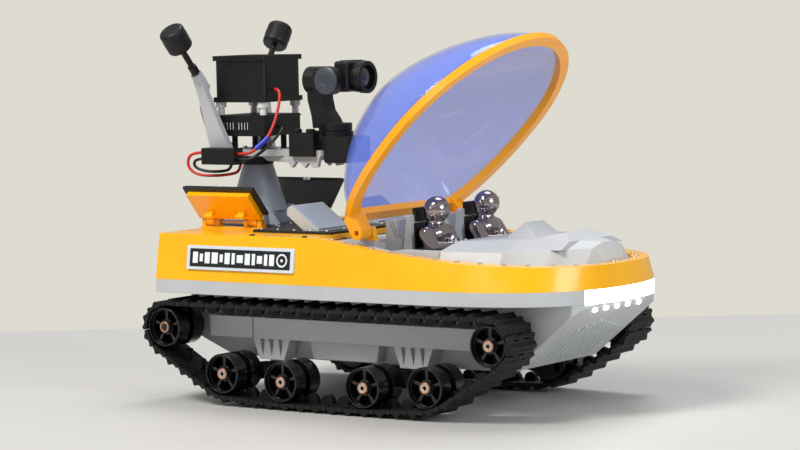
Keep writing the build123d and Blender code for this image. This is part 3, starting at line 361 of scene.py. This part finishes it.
# ---- leads ---------------------------------------------------------------------------------
LEAD_D = 1.8
RED_ROUTE = [(-80.05, -9.0, 183.0), (-76.0, -9.0, 183.0), (-73.0, -12.5, 176.0), (-73.5, -18.0, 162.0),
             (-76.5, -23.5, 152.0), (-83.0, -28.9, 145.5), (-88.5, -28.9, 144.8), (-92.95, -28.9, 144.8)]
BLACK_ROUTE = [(-80.75, -5.0, 160.5), (-76.8, -5.0, 160.5), (-74.5, -12.0, 156.0), (-77.0, -20.5, 148.5),
               (-83.0, -27.5, 142.0), (-88.5, -28.9, 141.4), (-92.95, -28.9, 141.4)]
RED_LOOP = [(-117.65, -29.0, 145.4), (-122.5, -29.0, 145.4), (-130.3, -29.6, 143.8), (-131.36, -30.2, 137.0),
            (-126.0, -29.5, 132.2), (-117.0, -26.5, 131.0), (-107.0, -20.5, 131.5), (-101.3, -15.5, 133.5),
            (-101.3, -15.5, 142.95)]
BLACK_LOOP = [(-117.65, -27.4, 141.6), (-121.5, -27.4, 141.6), (-128.0, -27.2, 140.4), (-129.0, -26.8, 136.6),
              (-123.0, -25.4, 133.9), (-114.0, -21.5, 133.2), (-107.2, -16.4, 134.6), (-107.2, -16.4, 142.95)]
LEADS = (("lead_red_fan", RED_ROUTE, "red", 0.058), ("lead_black_radio", BLACK_ROUTE, "wire_black", 0.044),
         ("lead_red_loop", RED_LOOP, "red", 0.062), ("lead_black_loop", BLACK_LOOP, "wire_black", 0.045))
for name, route, finish, length in LEADS:
    piece = tube(name, route, LEAD_D / 2, finish, "hull")
    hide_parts("power_leads")

SLEEVE = [(-75.6, -22.1, 154.4), (-77.6, -24.4, 151.2), (-81.2, -27.0, 147.9)]
SLEEVE_R = 1.5
tube("lead_sleeve", SLEEVE, SLEEVE_R, "blue", "hull")

# ---- canopy --------------------------------------------------------------------------------
CANOPY_HALF_W = 75.0
RIM_STEP = 2.6             # the dome stands this far in from the ring's edge
BEAD_STEP = 1.9            # and the bead this far
BEAD_R = 0.55
GLASS_T = 0.0012
CANOPY_WIDEST = 0.47
CANOPY_FOOT_SHARE = 0.70
RING_T = 4.5
CANOPY_AFT = 8.0
CANOPY_TIP = 152.0
ARC_K = 0.5523
CANOPY_HEIGHT = 52.5
DOME_TIP = 149.4
DOME_AFT = 10.6
DOME_CROWN_X = 55.0
DOME_LAYERS = 18


def dome_section(turn):
    """One level of the dome: height over the rim, aft end, tip and share of the full width.

    The turn goes from 0 at the rim to 1 at the crown.
    """
    up = math.sin(turn * math.pi / 2)
    tip = DOME_CROWN_X + (DOME_TIP - DOME_CROWN_X) * (1 - turn ** 1.45) ** 1.5
    aft = DOME_CROWN_X + (DOME_AFT - DOME_CROWN_X) * (1 - turn ** 1.3) ** 1.25
    return CANOPY_HEIGHT * up, aft, tip, (1 - up ** 1.7) ** 0.72


def bezier(a, b, c, d, steps):
    """Points along a Bezier curve, its far end left out."""
    points = []
    for i in range(steps):
        t = i / steps
        weights = ((1 - t) ** 3, 3 * t * (1 - t) ** 2, 3 * t * t * (1 - t), t ** 3)
        points.append(tuple(sum(w * v for w, v in zip(weights, values)) for values in zip(a, b, c, d)))
    return points


def canopy_outline(aft, tip, half_w):
    """The canopy's plan at one height as (x, y) points, going round from the hinge end."""
    mid = aft + CANOPY_WIDEST * (tip - aft)
    foot = CANOPY_FOOT_SHARE * half_w
    spread = (aft + 0.18 * (mid - aft), foot + 0.5 * (half_w - foot))
    side = bezier((aft, foot), spread, (aft + 0.46 * (mid - aft), half_w), (mid, half_w), 14)
    side += bezier((mid, half_w), (mid + ARC_K * (tip - mid), half_w), (tip, ARC_K * half_w), (tip, 0.0), 18)
    back = [(x, -y) for x, y in reversed(side[1:] + [(tip, 0.0)])]
    base = [(aft, -foot + 2 * foot * i / 10) for i in range(10)]
    return base + side + back


def canopy_shell():
    """The blown dome, one curved sheet."""
    bm = bmesh.new()
    place = open_canopy()
    rings = []
    for i in range(DOME_LAYERS):
        rise, aft, tip, share = dome_section(i / DOME_LAYERS)
        outline = canopy_outline(aft, tip, (CANOPY_HALF_W - RIM_STEP) * share)
        rings.append([bm.verts.new(place @ Vector((x, y, RING_T + rise))) for x, y in outline])
    for low, high in zip(rings, rings[1:]):
        count = len(low)
        for i in range(count):
            j = (i + 1) % count
            bm.faces.new((low[i], low[j], high[j], high[i]))
    crown = bm.verts.new(place @ Vector((DOME_CROWN_X, 0, RING_T + CANOPY_HEIGHT)))
    last = rings[-1]
    for i in range(len(last)):
        bm.faces.new((last[i], last[(i + 1) % len(last)], crown))
    shell = from_bmesh("canopy_dome", bm, "glazing", "canopy")
    curve = shell.modifiers.new("curve", "SUBSURF")
    curve.levels = curve.render_levels = 1
    thick = shell.modifiers.new("thick", "SOLIDIFY")
    thick.thickness = GLASS_T
    thick.offset = -1.0
    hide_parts("canopy_bubble")


def canopy_trim():
    """The dark bead between dome and ring."""
    place = open_canopy()
    outline = canopy_outline(CANOPY_AFT + BEAD_STEP, CANOPY_TIP - BEAD_STEP, CANOPY_HALF_W - BEAD_STEP)
    path = [(x, y, RING_T + 0.3) for x, y in outline]
    tube("canopy_bead", path, BEAD_R, "wire_black", "canopy", True, place)


canopy_shell()
canopy_trim()

# ---- crew ----------------------------------------------------------------------------------
CREW_Y = 26.0
HEAD = (48.5, 114.6)
HELMET_R = 7.4
SEAM_R = 7.7               # the helmet's seams stand a little proud of it
SKIN_VOXEL = 0.00055


def ball(bm, centre, r, stretch=(1, 1, 1), level=2):
    """A ball, stretched along x, y and z."""
    at = Matrix.Translation(P(*centre)) @ Matrix.Diagonal((*[r * s / 1000 for s in stretch], 1))
    bmesh.ops.create_icosphere(bm, subdivisions=level, radius=1.0, matrix=at)


def limb(bm, a, b, r1, r2):
    """A tapering limb with round ends."""
    a, b = Vector(a), Vector(b)
    steps = max(2, int((b - a).length / 1.2))
    for i in range(steps + 1):
        t = i / steps
        ball(bm, a.lerp(b, t), r1 + (r2 - r1) * t)


def mannequin(name, y):
    """A plain smooth seated figure: torso, arms, legs and a helmet with two seams."""
    x, z = HEAD
    bm = bmesh.new()
    ball(bm, (x, y, z), HELMET_R, (1.05, 1.0, 1.03), 4)
    ball(bm, (x - 1.0, y, z - 3.4), 6.2, (1.02, 1.0, 0.9), 4)
    limb(bm, (x - 1, y, 104), (x - 0.5, y, 109.5), 3.2, 3.4)
    limb(bm, (x - 1.4, y, 91), (x - 1.0, y, 100.2), 7.8, 9.0)
    ball(bm, (x + 1.2, y, 101.0), 6.6, (1.0, 1.35, 0.85), 4)
    for s in (-1, 1):
        shoulder, elbow = (x - 0.6, y + s * 9.8, 101.0), (x + 5.2, y + s * 11.0, 93.2)
        hand, hip, knee = (x + 13.2, y + s * 4.5, 94.6), (x, y + s * 4.1, 90.4), (x + 14.2, y + s * 4.4, 90.6)
        limb(bm, shoulder, elbow, 4.8, 3.8)
        limb(bm, elbow, hand, 3.8, 2.6)
        limb(bm, hip, knee, 3.8, 3.2)
    body = from_bmesh(name, bm, "chrome", "hull")
    remesh = body.modifiers.new("skin", "REMESH")
    remesh.mode = "VOXEL"
    remesh.voxel_size = SKIN_VOXEL
    remesh.use_smooth_shade = True
    soften = body.modifiers.new("soften", "SMOOTH")
    soften.iterations = 9
    soften.factor = 0.6
    bm = bmesh.new()
    for height, r in ((105.6, 5.0), (107.0, 4.6)):
        collar = [(r - 1.0, -0.8), (r, -0.5), (r + 0.25, 0), (r, 0.5), (r - 1.0, 0.8)]
        add_turned(bm, collar, axes_at((x - 0.7, y, height), AHEAD, (0.08, 0, 1)), 36)
    ear_cup = [(2.1, -0.8), (2.1, 0.5), (1.6, 0.9), (0.6, 1.0)]
    for s in (-1, 1):
        add_turned(bm, ear_cup, axes_at((x - 0.4, y + s * 6.6, z - 0.4), AHEAD, (0, s, 0)), 28)
    sharp_by_angle(from_bmesh(name + "_trim", bm, "chrome", "hull"))
    for part, drop, dip in (("visor", 2.0, 0.9), ("chin", -3.2, 0.7)):
        turns = [math.radians(-86 + 21.5 * i) for i in range(9)]
        r = SEAM_R * math.cos(math.asin(abs(drop) / SEAM_R))
        rim = [(x + r * 1.03 * math.cos(a), y + r * math.sin(a), z + drop + dip * math.cos(a))
               for a in turns]
        tube(f"{name}_{part}_rim", rim, 0.36, "chrome", "hull")
    return body


crew = [mannequin("pilot_" + side, s * CREW_Y) for side, s in SIDES]
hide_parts("pilot_figures")
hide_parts("pilot_figures")


def cockpit_fittings():
    """Seat pads, head pads and the control yokes."""
    bm = bmesh.new()
    for side, s in SIDES:
        y = s * CREW_Y
        add_box(bm, (1.6, 15, 15), axes_at((37.2, y, 99.5), (1, 0, 0.10), (-0.10, 0, 1)), 0.6)
        add_box(bm, (2.4, 13, 8), axes_at((37.0, y, 111.5), (1, 0, 0.10), (-0.10, 0, 1)), 0.8)
        add_box(bm, (15, 15, 1.2), axes_at((48.5, y, 87.3), AHEAD, UP), 0.5)
    from_bmesh("seat_pads", bm, "black", "hull", False)
    for side, s in SIDES:
        y = s * CREW_Y
        half = [(64.7, 2, 92.8), (64.5, 5.4, 94.5), (64.5, 5, 97.5)]
        yoke = [(a, y - b, c) for a, b, c in reversed(half)] + [(a, y + b, c) for a, b, c in half]
        tube("yoke_" + side, yoke, 0.9, "nylon", "hull")
        stem = [(64.7, y, 92.8), (66.5, y, 91.0), (69.0, y, 87.6), (69.8, y, 84.0)]
        tube("yoke_stem_" + side, stem, 1.1, "nylon", "hull")


cockpit_fittings()

# ---- hull details --------------------------------------------------------------------------
PLATE_TILT = math.atan2(4.0, 31.0)
PLATE_CENTRE = (-56.6, 86.7)
BARS_START = -34.5
BAR_GAP = 1.35
RING_MARK_X = 31.0
GLACIS_FOOT = (109.7, 26.0)
GLACIS_HEAD = (158.0, 66.0)
DECK_Z = 100.0
WASHER_Y = 76.2


def nameplate_marks():
    """A black field with plain bars and a ring on each nameplate."""
    x, z = PLATE_CENTRE
    out = 77.0 - (z - 73.0) * math.tan(PLATE_TILT) + 1.22
    widths = (3.8, 2.4, 3.8, 4.6, 2.4, 3.8, 2.4, 4.6, 3.8, 2.4, 3.8, 2.4, 3.6)
    for side, s in SIDES:
        normal = Vector((0, s * math.cos(PLATE_TILT), math.sin(PLATE_TILT)))
        place = axes_at((x, s * out, z), (-s, 0, 0), normal)
        field, marks = bmesh.new(), bmesh.new()
        add_box(field, (73.6, 10.6, 0.3), place @ Matrix.Translation((0, 0, 0.1)), 0.1, 1)
        at = BARS_START
        for i, w in enumerate(widths):
            tall = 6.6 if i % 3 != 1 else 4.6
            add_box(marks, (w, tall, 0.24), place @ Matrix.Translation((at + w / 2, 0, 0.3)), 0.08, 1)
            at += w + BAR_GAP
        ring = [(3.9, 0.1), (3.9, 0.38), (3.7, 0.42), (3.1, 0.42), (2.9, 0.38), (2.9, 0.1)]
        add_turned(marks, ring, place @ Matrix.Translation((RING_MARK_X, 0, 0)), 40)
        dot = [(0.9, 0.1), (0.9, 0.38), (0.7, 0.42)]
        add_turned(marks, dot, place @ Matrix.Translation((RING_MARK_X, 0, 0.06)), 24)
        from_bmesh("label_field_" + side, field, "label_field", "hull", False)
        sharp_by_angle(from_bmesh("label_marks_" + side, marks, "label_mark", "hull"))


def glacis_details():
    """Ribs across the bow slope and five small lamps under the light bar."""
    foot_x, foot_z = GLACIS_FOOT
    head_x, head_z = GLACIS_HEAD
    slope = Vector((head_x - foot_x, 0, head_z - foot_z)).normalized()
    normal = Vector((slope.z, 0, -slope.x))
    ribs, lamps = bmesh.new(), bmesh.new()
    for i in range(11):
        y = 6.0 * (i - 5)
        along = 21.0 - 0.16 * abs(y)
        centre = Vector((foot_x, y, foot_z)) + slope * (along + 2.0) + normal * 0.25
        add_box(ribs, (2 * along - 5, 1.6, 1.0), axes_at(tuple(centre), slope, normal), 0.35)
    dome = [(1.5, -0.3), (1.5, 0.3), (1.1, 0.9), (0.3, 1.1)]
    for i in range(5):
        centre = Vector((foot_x, -24 + 12 * i, foot_z)) + slope * 54.5 + normal * 0.1
        add_turned(lamps, dome, axes_at(tuple(centre), slope, normal), 24)
    from_bmesh("bow_ribs", ribs, "grey", "hull", False)
    from_bmesh("bow_lamps", lamps, "led", "hull")


def gunwale_screws():
    """Dark domed screws along the deck's edge."""
    bm = bmesh.new()
    head = [(1.7, -0.2), (1.7, 0.3), (1.3, 0.8), (0.4, 1.0)]
    for s in (-1, 1):
        for x in (-52.0, -14.0, 14.0):
            add_turned(bm, head, axes_at((x, s * 69.8, DECK_Z), AHEAD, UP), 28)
    from_bmesh("gunwale_screws", bm, "plate", "hull")


def hub_washers():
    """A copper washer round every wheel's screw."""
    places = (("drive", -114.6, 44.3), ("road_1", -71.9, 18.7), ("road_2", -29.1, 16.2),
              ("road_3", 29.1, 16.2), ("road_4", 71.9, 18.7), ("idler", 114.6, 44.3))
    washer = [(3.2, 0.0), (3.2, 0.3), (3.0, 0.5), (2.4, 0.5), (2.2, 0.3), (2.2, 0.0)]
    for side, s in SIDES:
        for name, x, z in places:
            bm = bmesh.new()
            add_turned(bm, washer, axes_at((x, s * WASHER_Y, z), AHEAD, (0, s, 0)), 36)
            wheel = f"{name}_wheel_{side}"
            ring = from_bmesh(f"{name}_washer_{side}", bm, "copper", wheel)
            sharp_by_angle(ring)


nameplate_marks()
glacis_details()
gunwale_screws()
hub_washers()

# ---- rear deck details ---------------------------------------------------------------------
PANEL_HINGE = (31.0, 104.0)
PANEL_LEAN = 41.0
PANEL_X = (-122.5, -69.5)
BORDER_Z = 4.4


def panel_place(s):
    """Where a piece drawn flat outboard of a panel's hinge goes, in millimetres."""
    y, z = PANEL_HINGE
    turn = Matrix.Rotation(math.radians(s * (90 - PANEL_LEAN)), 4, "X")
    return Matrix.Translation(P(0, s * y, z)) @ turn @ Matrix.Scale(0.001, 4)


def panel_details():
    """A raised border and latch on each plate, and two lug posts under each tray."""
    low, high = PANEL_X
    middle = (low + high) / 2
    across = Matrix.Rotation(math.radians(90), 4, "Y")
    for side, s in SIDES:
        place = panel_place(s)
        bm = bmesh.new()
        for y in (5.2, 24.8):
            add_box(bm, (51.0, 1.5, 0.6), place @ Matrix.Translation((middle, s * y, BORDER_Z)), 0.2, 1)
        for x in (low + 1.3, high - 1.3):
            add_box(bm, (1.5, 21.0, 0.6), place @ Matrix.Translation((x, s * 15.0, BORDER_Z)), 0.2, 1)
        from_bmesh("panel_border_" + side, bm, "plate", "panel_" + side, False)
        bm = bmesh.new()
        add_box(bm, (5.0, 2.0, 1.0), place @ Matrix.Translation((middle, s * 24.2, 4.7)), 0.3)
        add_box(bm, (2.2, 1.0, 1.0), place @ Matrix.Translation((middle, s * 24.6, 5.2)), 0.3)
        from_bmesh("panel_latch_" + side, bm, "nylon", "panel_" + side, False)
        bm = bmesh.new()
        for x in (-108, -84):
            add_box(bm, (5.0, 3.0, 3.4), place @ Matrix.Translation((x, s * 8.6, -2.6)), 0.5)
            lug = place @ Matrix.Translation((x, s * 8.6, -4.2)) @ across
            add_turned(bm, [(1.3, -3.0), (1.3, 3.0)], lug, 20)
        from_bmesh("panel_lugs_" + side, bm, "yellow", "panel_" + side, False)


POD_SLOPE = ((-41.6, 116.0), (-21.5, 101.5))
POD_Y = 30


def pod_details():
    """The smooth plate on each pod's slope."""
    (x0, z0), (x1, z1) = POD_SLOPE
    slope = Vector((x1 - x0, 0, z1 - z0)).normalized()
    normal = Vector((-slope.z, 0, slope.x))
    for side, s in SIDES:
        bm = bmesh.new()
        centre = Vector(((x0 + x1) / 2, s * POD_Y, (z0 + z1) / 2)) + normal * 0.2
        add_box(bm, (22.5, 29.5, 1.0), axes_at(tuple(centre), slope, normal), 0.4)
        from_bmesh("pod_plate_" + side, bm, "pod", "hull", False)


RADIO_X = (-117.6, -80.8)
RADIO_HALF_W = 18.4
RADIO_Z = (154.8, 167.5)
HEAD_TOP = 146.5
COAX_R = 0.7


def mast_details():
    """The dark collar and screws of the head plate, and slots and rims on the radio box."""
    bm = bmesh.new()
    collar = [(8.3, -3.0), (9.6, -2.6), (9.6, 2.6), (8.3, 3.0)]
    add_turned(bm, collar, axes_at((-100.5, 0, 139.8), AHEAD, UP), 48)
    sharp_by_angle(from_bmesh("mast_collar", bm, "black", "hull"))
    bm = bmesh.new()
    for s in (-1, 1):
        for group in (-112.0, -101.0):
            for i in range(4):
                place = axes_at((group + i * 2.2 + 0.55, s * (RADIO_HALF_W - 0.9), 161.0), AHEAD, UP)
                add_box(bm, (1.0, 0.5, 4.8), place, 0.1, 1)
    from_bmesh("radio_slots", bm, "label_mark", "hull", False)
    bm = bmesh.new()
    middle = (RADIO_X[0] + RADIO_X[1]) / 2
    for z in (RADIO_Z[0] + 1.1, RADIO_Z[1] - 1.1):
        size = (RADIO_X[1] - RADIO_X[0] + 0.5, 2 * RADIO_HALF_W + 0.5, 0.9)
        add_box(bm, size, axes_at((middle, 0, z), AHEAD, UP), 0.3)
    from_bmesh("radio_rims", bm, "black", "hull", False)
    bm = bmesh.new()
    head = [(1.6, 0), (1.6, 0.5), (1.1, 1.0), (0.3, 1.1)]
    for x, y in ((-116.5, -8), (-116.5, 8), (-76, -11), (-76, 11), (-72, 0)):
        add_turned(bm, head, axes_at((x, y, HEAD_TOP), AHEAD, UP), 24)
    from_bmesh("head_screws", bm, "steel", "hull")


def antenna_details():
    """A seam ring round each cap, a sleeve on each stem and the thin coax behind each holder."""
    seam = [(7.4, -0.4), (7.95, -0.25), (7.95, 0.25), (7.4, 0.4)]
    sleeve = [(1.9, 0.0), (2.7, 0.4), (2.7, 5.6), (1.9, 6.4)]
    back = Vector((-1, 0, 0))
    for side, s in SIDES:
        foot, top = Vector((-112, s * 20.8, 145.5)), Vector((-119.2, s * 31.6, 190))
        stem = Vector((-0.069, s * 0.607, 0.792)).normalized()
        axis = (top - foot).normalized()
        bm = bmesh.new()
        for along in (29.2, 31.4):
            add_turned(bm, seam, axes_at(tuple(top + stem * along), AHEAD, stem), 48)
        add_turned(bm, sleeve, axes_at(tuple(top + stem * 4.2), AHEAD, stem), 32)
        sharp_by_angle(from_bmesh("antenna_rings_" + side, bm, "black", "hull"))
        coax = [top - stem * 7.6, top - stem * 9.5 + back * 2.0, top - axis * 16 + back * 5.6,
                top - axis * 30 + back * 6.2, foot + axis * 6 + back * 5.0]
        path = [tuple(p) for p in coax] + [(-113.5, s * 14.5, 148.6), (-111, s * 12.0, 150.4)]
        tube("antenna_coax_" + side, path, COAX_R, "wire_black", "hull")


TILT_X = -34.2
ROLL_MOTOR_X = -59.0
CAMERA_Z = 188.0
COVER_SCREW_R = 5.2
LENS_Y = 0.7
LENS_Z = 189.6
BARREL_R = 8.95


def motor_covers():
    """A dished cover with four screw heads on the tilt motor, and a plain one on the roll motor."""
    bm = bmesh.new()
    place = axes_at((TILT_X, -18.2, CAMERA_Z), AHEAD, (0, -1, 0))
    cover = [(8.2, 0), (8.2, 0.6), (7.5, 1.1), (3.2, 1.3), (2.8, 0.9), (0.4, 0.9)]
    add_turned(bm, cover, place, 56)
    head = [(0.8, 0.9), (0.8, 1.5), (0.5, 1.6)]
    for i in range(4):
        a = math.radians(45 + 90 * i)
        at = Matrix.Translation((COVER_SCREW_R * math.cos(a), COVER_SCREW_R * math.sin(a), 0))
        add_turned(bm, head, place @ at, 16)
    sharp_by_angle(from_bmesh("tilt_motor_cover", bm, "slate", "gimbal_roll"))
    bm = bmesh.new()
    cover = [(8.1, 0), (8.1, 0.4), (7.4, 0.9), (2.8, 1.0), (2.4, 0.8), (0.4, 0.8)]
    add_turned(bm, cover, axes_at((ROLL_MOTOR_X, 0, CAMERA_Z), (0, 1, 0), (-1, 0, 0)), 48)
    sharp_by_angle(from_bmesh("roll_motor_cover", bm, "slate", "gimbal_yaw"))


def camera_lens():
    """The bulging front glass, two rings round the bezel and the lid on the camera's top."""
    bm = bmesh.new()
    glass = [(6.9, 0.0), (6.5, 0.7), (5.2, 1.3), (3.4, 1.8), (1.2, 2.1), (0.2, 2.15)]
    add_turned(bm, glass, axes_at((-20.2, LENS_Y, LENS_Z), (0, 1, 0), AHEAD), 48)
    from_bmesh("lens_glass", bm, "lens", "camera")
    bm = bmesh.new()
    ring = [(BARREL_R - 0.5, -0.5), (BARREL_R, -0.3), (BARREL_R, 0.3), (BARREL_R - 0.5, 0.5)]
    for x in (-24.6, -22.7):
        add_turned(bm, ring, axes_at((x, LENS_Y, LENS_Z), (0, 1, 0), AHEAD), 56)
    sharp_by_angle(from_bmesh("lens_rings", bm, "wheel", "camera"))
    bm = bmesh.new()
    add_box(bm, (7.0, 14.0, 0.6), axes_at((-29.2, LENS_Y, 199.5), AHEAD, UP), 0.25)
    from_bmesh("camera_lid", bm, "plate", "camera", False)


def clamp_knobs():
    """Four round knobs on the clamp under the gimbal."""
    bm = bmesh.new()
    knob = [(2.6, 0), (2.9, 0.4), (2.9, 1.8), (2.5, 2.2), (1.2, 2.3)]
    for x in (-60, -50):
        for s in (-1, 1):
            add_turned(bm, knob, axes_at((x, s * 13.2, 157.1), AHEAD, UP), 24)
    sharp_by_angle(from_bmesh("gimbal_knobs", bm, "black", "hull"))


panel_details()
pod_details()
mast_details()
antenna_details()
motor_covers()
camera_lens()
clamp_knobs()

# ---- floor, light and camera ---------------------------------------------------------------
VIEW_AZIMUTH = math.radians(35.01)
VIEW_PITCH = math.radians(4.43)
VIEW_ROLL = math.radians(1.28)
VIEW_FROM = (965.2, -1372.0, 232.1)
FOCAL_MM = 128.16
FLOOR_SIZE = (6.0, 3.0, 1, 1)


def camera():
    """The camera at the viewing angle, and the ways that are right and ahead of it on the floor."""
    right = Vector((math.cos(VIEW_AZIMUTH), math.sin(VIEW_AZIMUTH), 0))
    ahead = Vector((-math.sin(VIEW_AZIMUTH), math.cos(VIEW_AZIMUTH), 0))
    forward = ahead * math.cos(VIEW_PITCH) - Vector((0, 0, math.sin(VIEW_PITCH)))
    up = ahead * math.sin(VIEW_PITCH) + Vector((0, 0, math.cos(VIEW_PITCH)))
    x = right * math.cos(VIEW_ROLL) - up * math.sin(VIEW_ROLL)
    y = right * math.sin(VIEW_ROLL) + up * math.cos(VIEW_ROLL)
    data = bpy.data.cameras.new("camera")
    data.lens = FOCAL_MM
    data.sensor_width = 36.0
    data.clip_start = 0.05
    data.clip_end = 30.0
    cam = bpy.data.objects.new("camera", data)
    bpy.context.scene.collection.objects.link(cam)
    cam.matrix_world = Matrix.Translation(P(*VIEW_FROM)) @ Matrix((x, y, -forward)).transposed().to_4x4()
    bpy.context.scene.camera = cam
    return right, ahead


def area_light(name, at, aim, size, power, colour):
    """A round soft light, aimed at a point."""
    data = bpy.data.lights.new(name, "AREA")
    data.shape = "DISK"
    data.size = size
    data.energy = power
    data.color = colour
    lamp = bpy.data.objects.new(name, data)
    bpy.context.scene.collection.objects.link(lamp)
    lamp.location = at
    lamp.rotation_euler = (Vector(aim) - Vector(at)).to_track_quat("-Z", "Y").to_euler()


def floor_paint():
    """Matt pale paint, a little cloudy."""
    n = Nodes("floor_paint")
    cloud = n.ranged(n.noise(3.0, 5.0), 0.0, 1.0)
    n.join(n.mixed(cloud, (0.50, 0.495, 0.485), (0.56, 0.555, 0.545)), n.shader.inputs["Base Color"])
    n.join(n.ranged(n.noise(12.0, 5.0), 0.42, 0.55), n.shader.inputs["Roughness"])
    return n.material


def lay_floor(middle):
    """A pale floor round the object, its long side across the view."""
    bm = bmesh.new()
    bmesh.ops.create_grid(bm, x_segments=2, y_segments=2, size=1.0)
    mesh = bpy.data.meshes.new("floor")
    bm.to_mesh(mesh)
    bm.free()
    floor = bpy.data.objects.new("floor", mesh)
    bpy.context.scene.collection.objects.link(floor)
    mesh.materials.append(floor_paint())
    at = Matrix.Translation((middle.x, middle.y, -0.0002))
    floor.matrix_world = at @ Matrix.Rotation(VIEW_AZIMUTH, 4, "Z") @ Matrix.Diagonal(FLOOR_SIZE)


def room_light():
    """A plain wall behind the object, and a softer even light from all round."""
    world = bpy.data.worlds.new("room")
    bpy.context.scene.world = world
    world.use_nodes = True
    tree = world.node_tree
    seen, cast = tree.nodes["Background"], tree.nodes.new("ShaderNodeBackground")
    seen.inputs["Color"].default_value = (0.73, 0.71, 0.63, 1)
    seen.inputs["Strength"].default_value = 1.0
    cast.inputs["Color"].default_value = (0.86, 0.85, 0.82, 1)
    cast.inputs["Strength"].default_value = 0.46
    path, mix = tree.nodes.new("ShaderNodeLightPath"), tree.nodes.new("ShaderNodeMixShader")
    tree.links.new(path.outputs["Is Camera Ray"], mix.inputs["Fac"])
    tree.links.new(cast.outputs[0], mix.inputs[1])
    tree.links.new(seen.outputs[0], mix.inputs[2])
    tree.links.new(mix.outputs[0], tree.nodes["World Output"].inputs["Surface"])


def studio(right, ahead):
    """Floor, room and three soft lights round the object."""
    centre = P(10, 0, 90)
    lay_floor(centre - ahead * 2.6)
    room_light()
    key_at = centre - ahead * 0.7 - right * 0.9 + Vector((0, 0, 1.3))
    fill_at = centre - ahead * 1.2 + right * 1.0 + Vector((0, 0, 0.6))
    top_at = centre + ahead * 0.5 + right * 0.2 + Vector((0, 0, 1.5))
    area_light("key", key_at, centre, 0.6, 24.0, (1.0, 0.97, 0.92))
    area_light("fill", fill_at, centre, 0.8, 10.0, (0.95, 0.97, 1.0))
    area_light("top", top_at, centre, 0.9, 14.0, (0.96, 0.98, 1.0))


studio(*camera())
bpy.context.scene.view_settings.view_transform = "Standard"
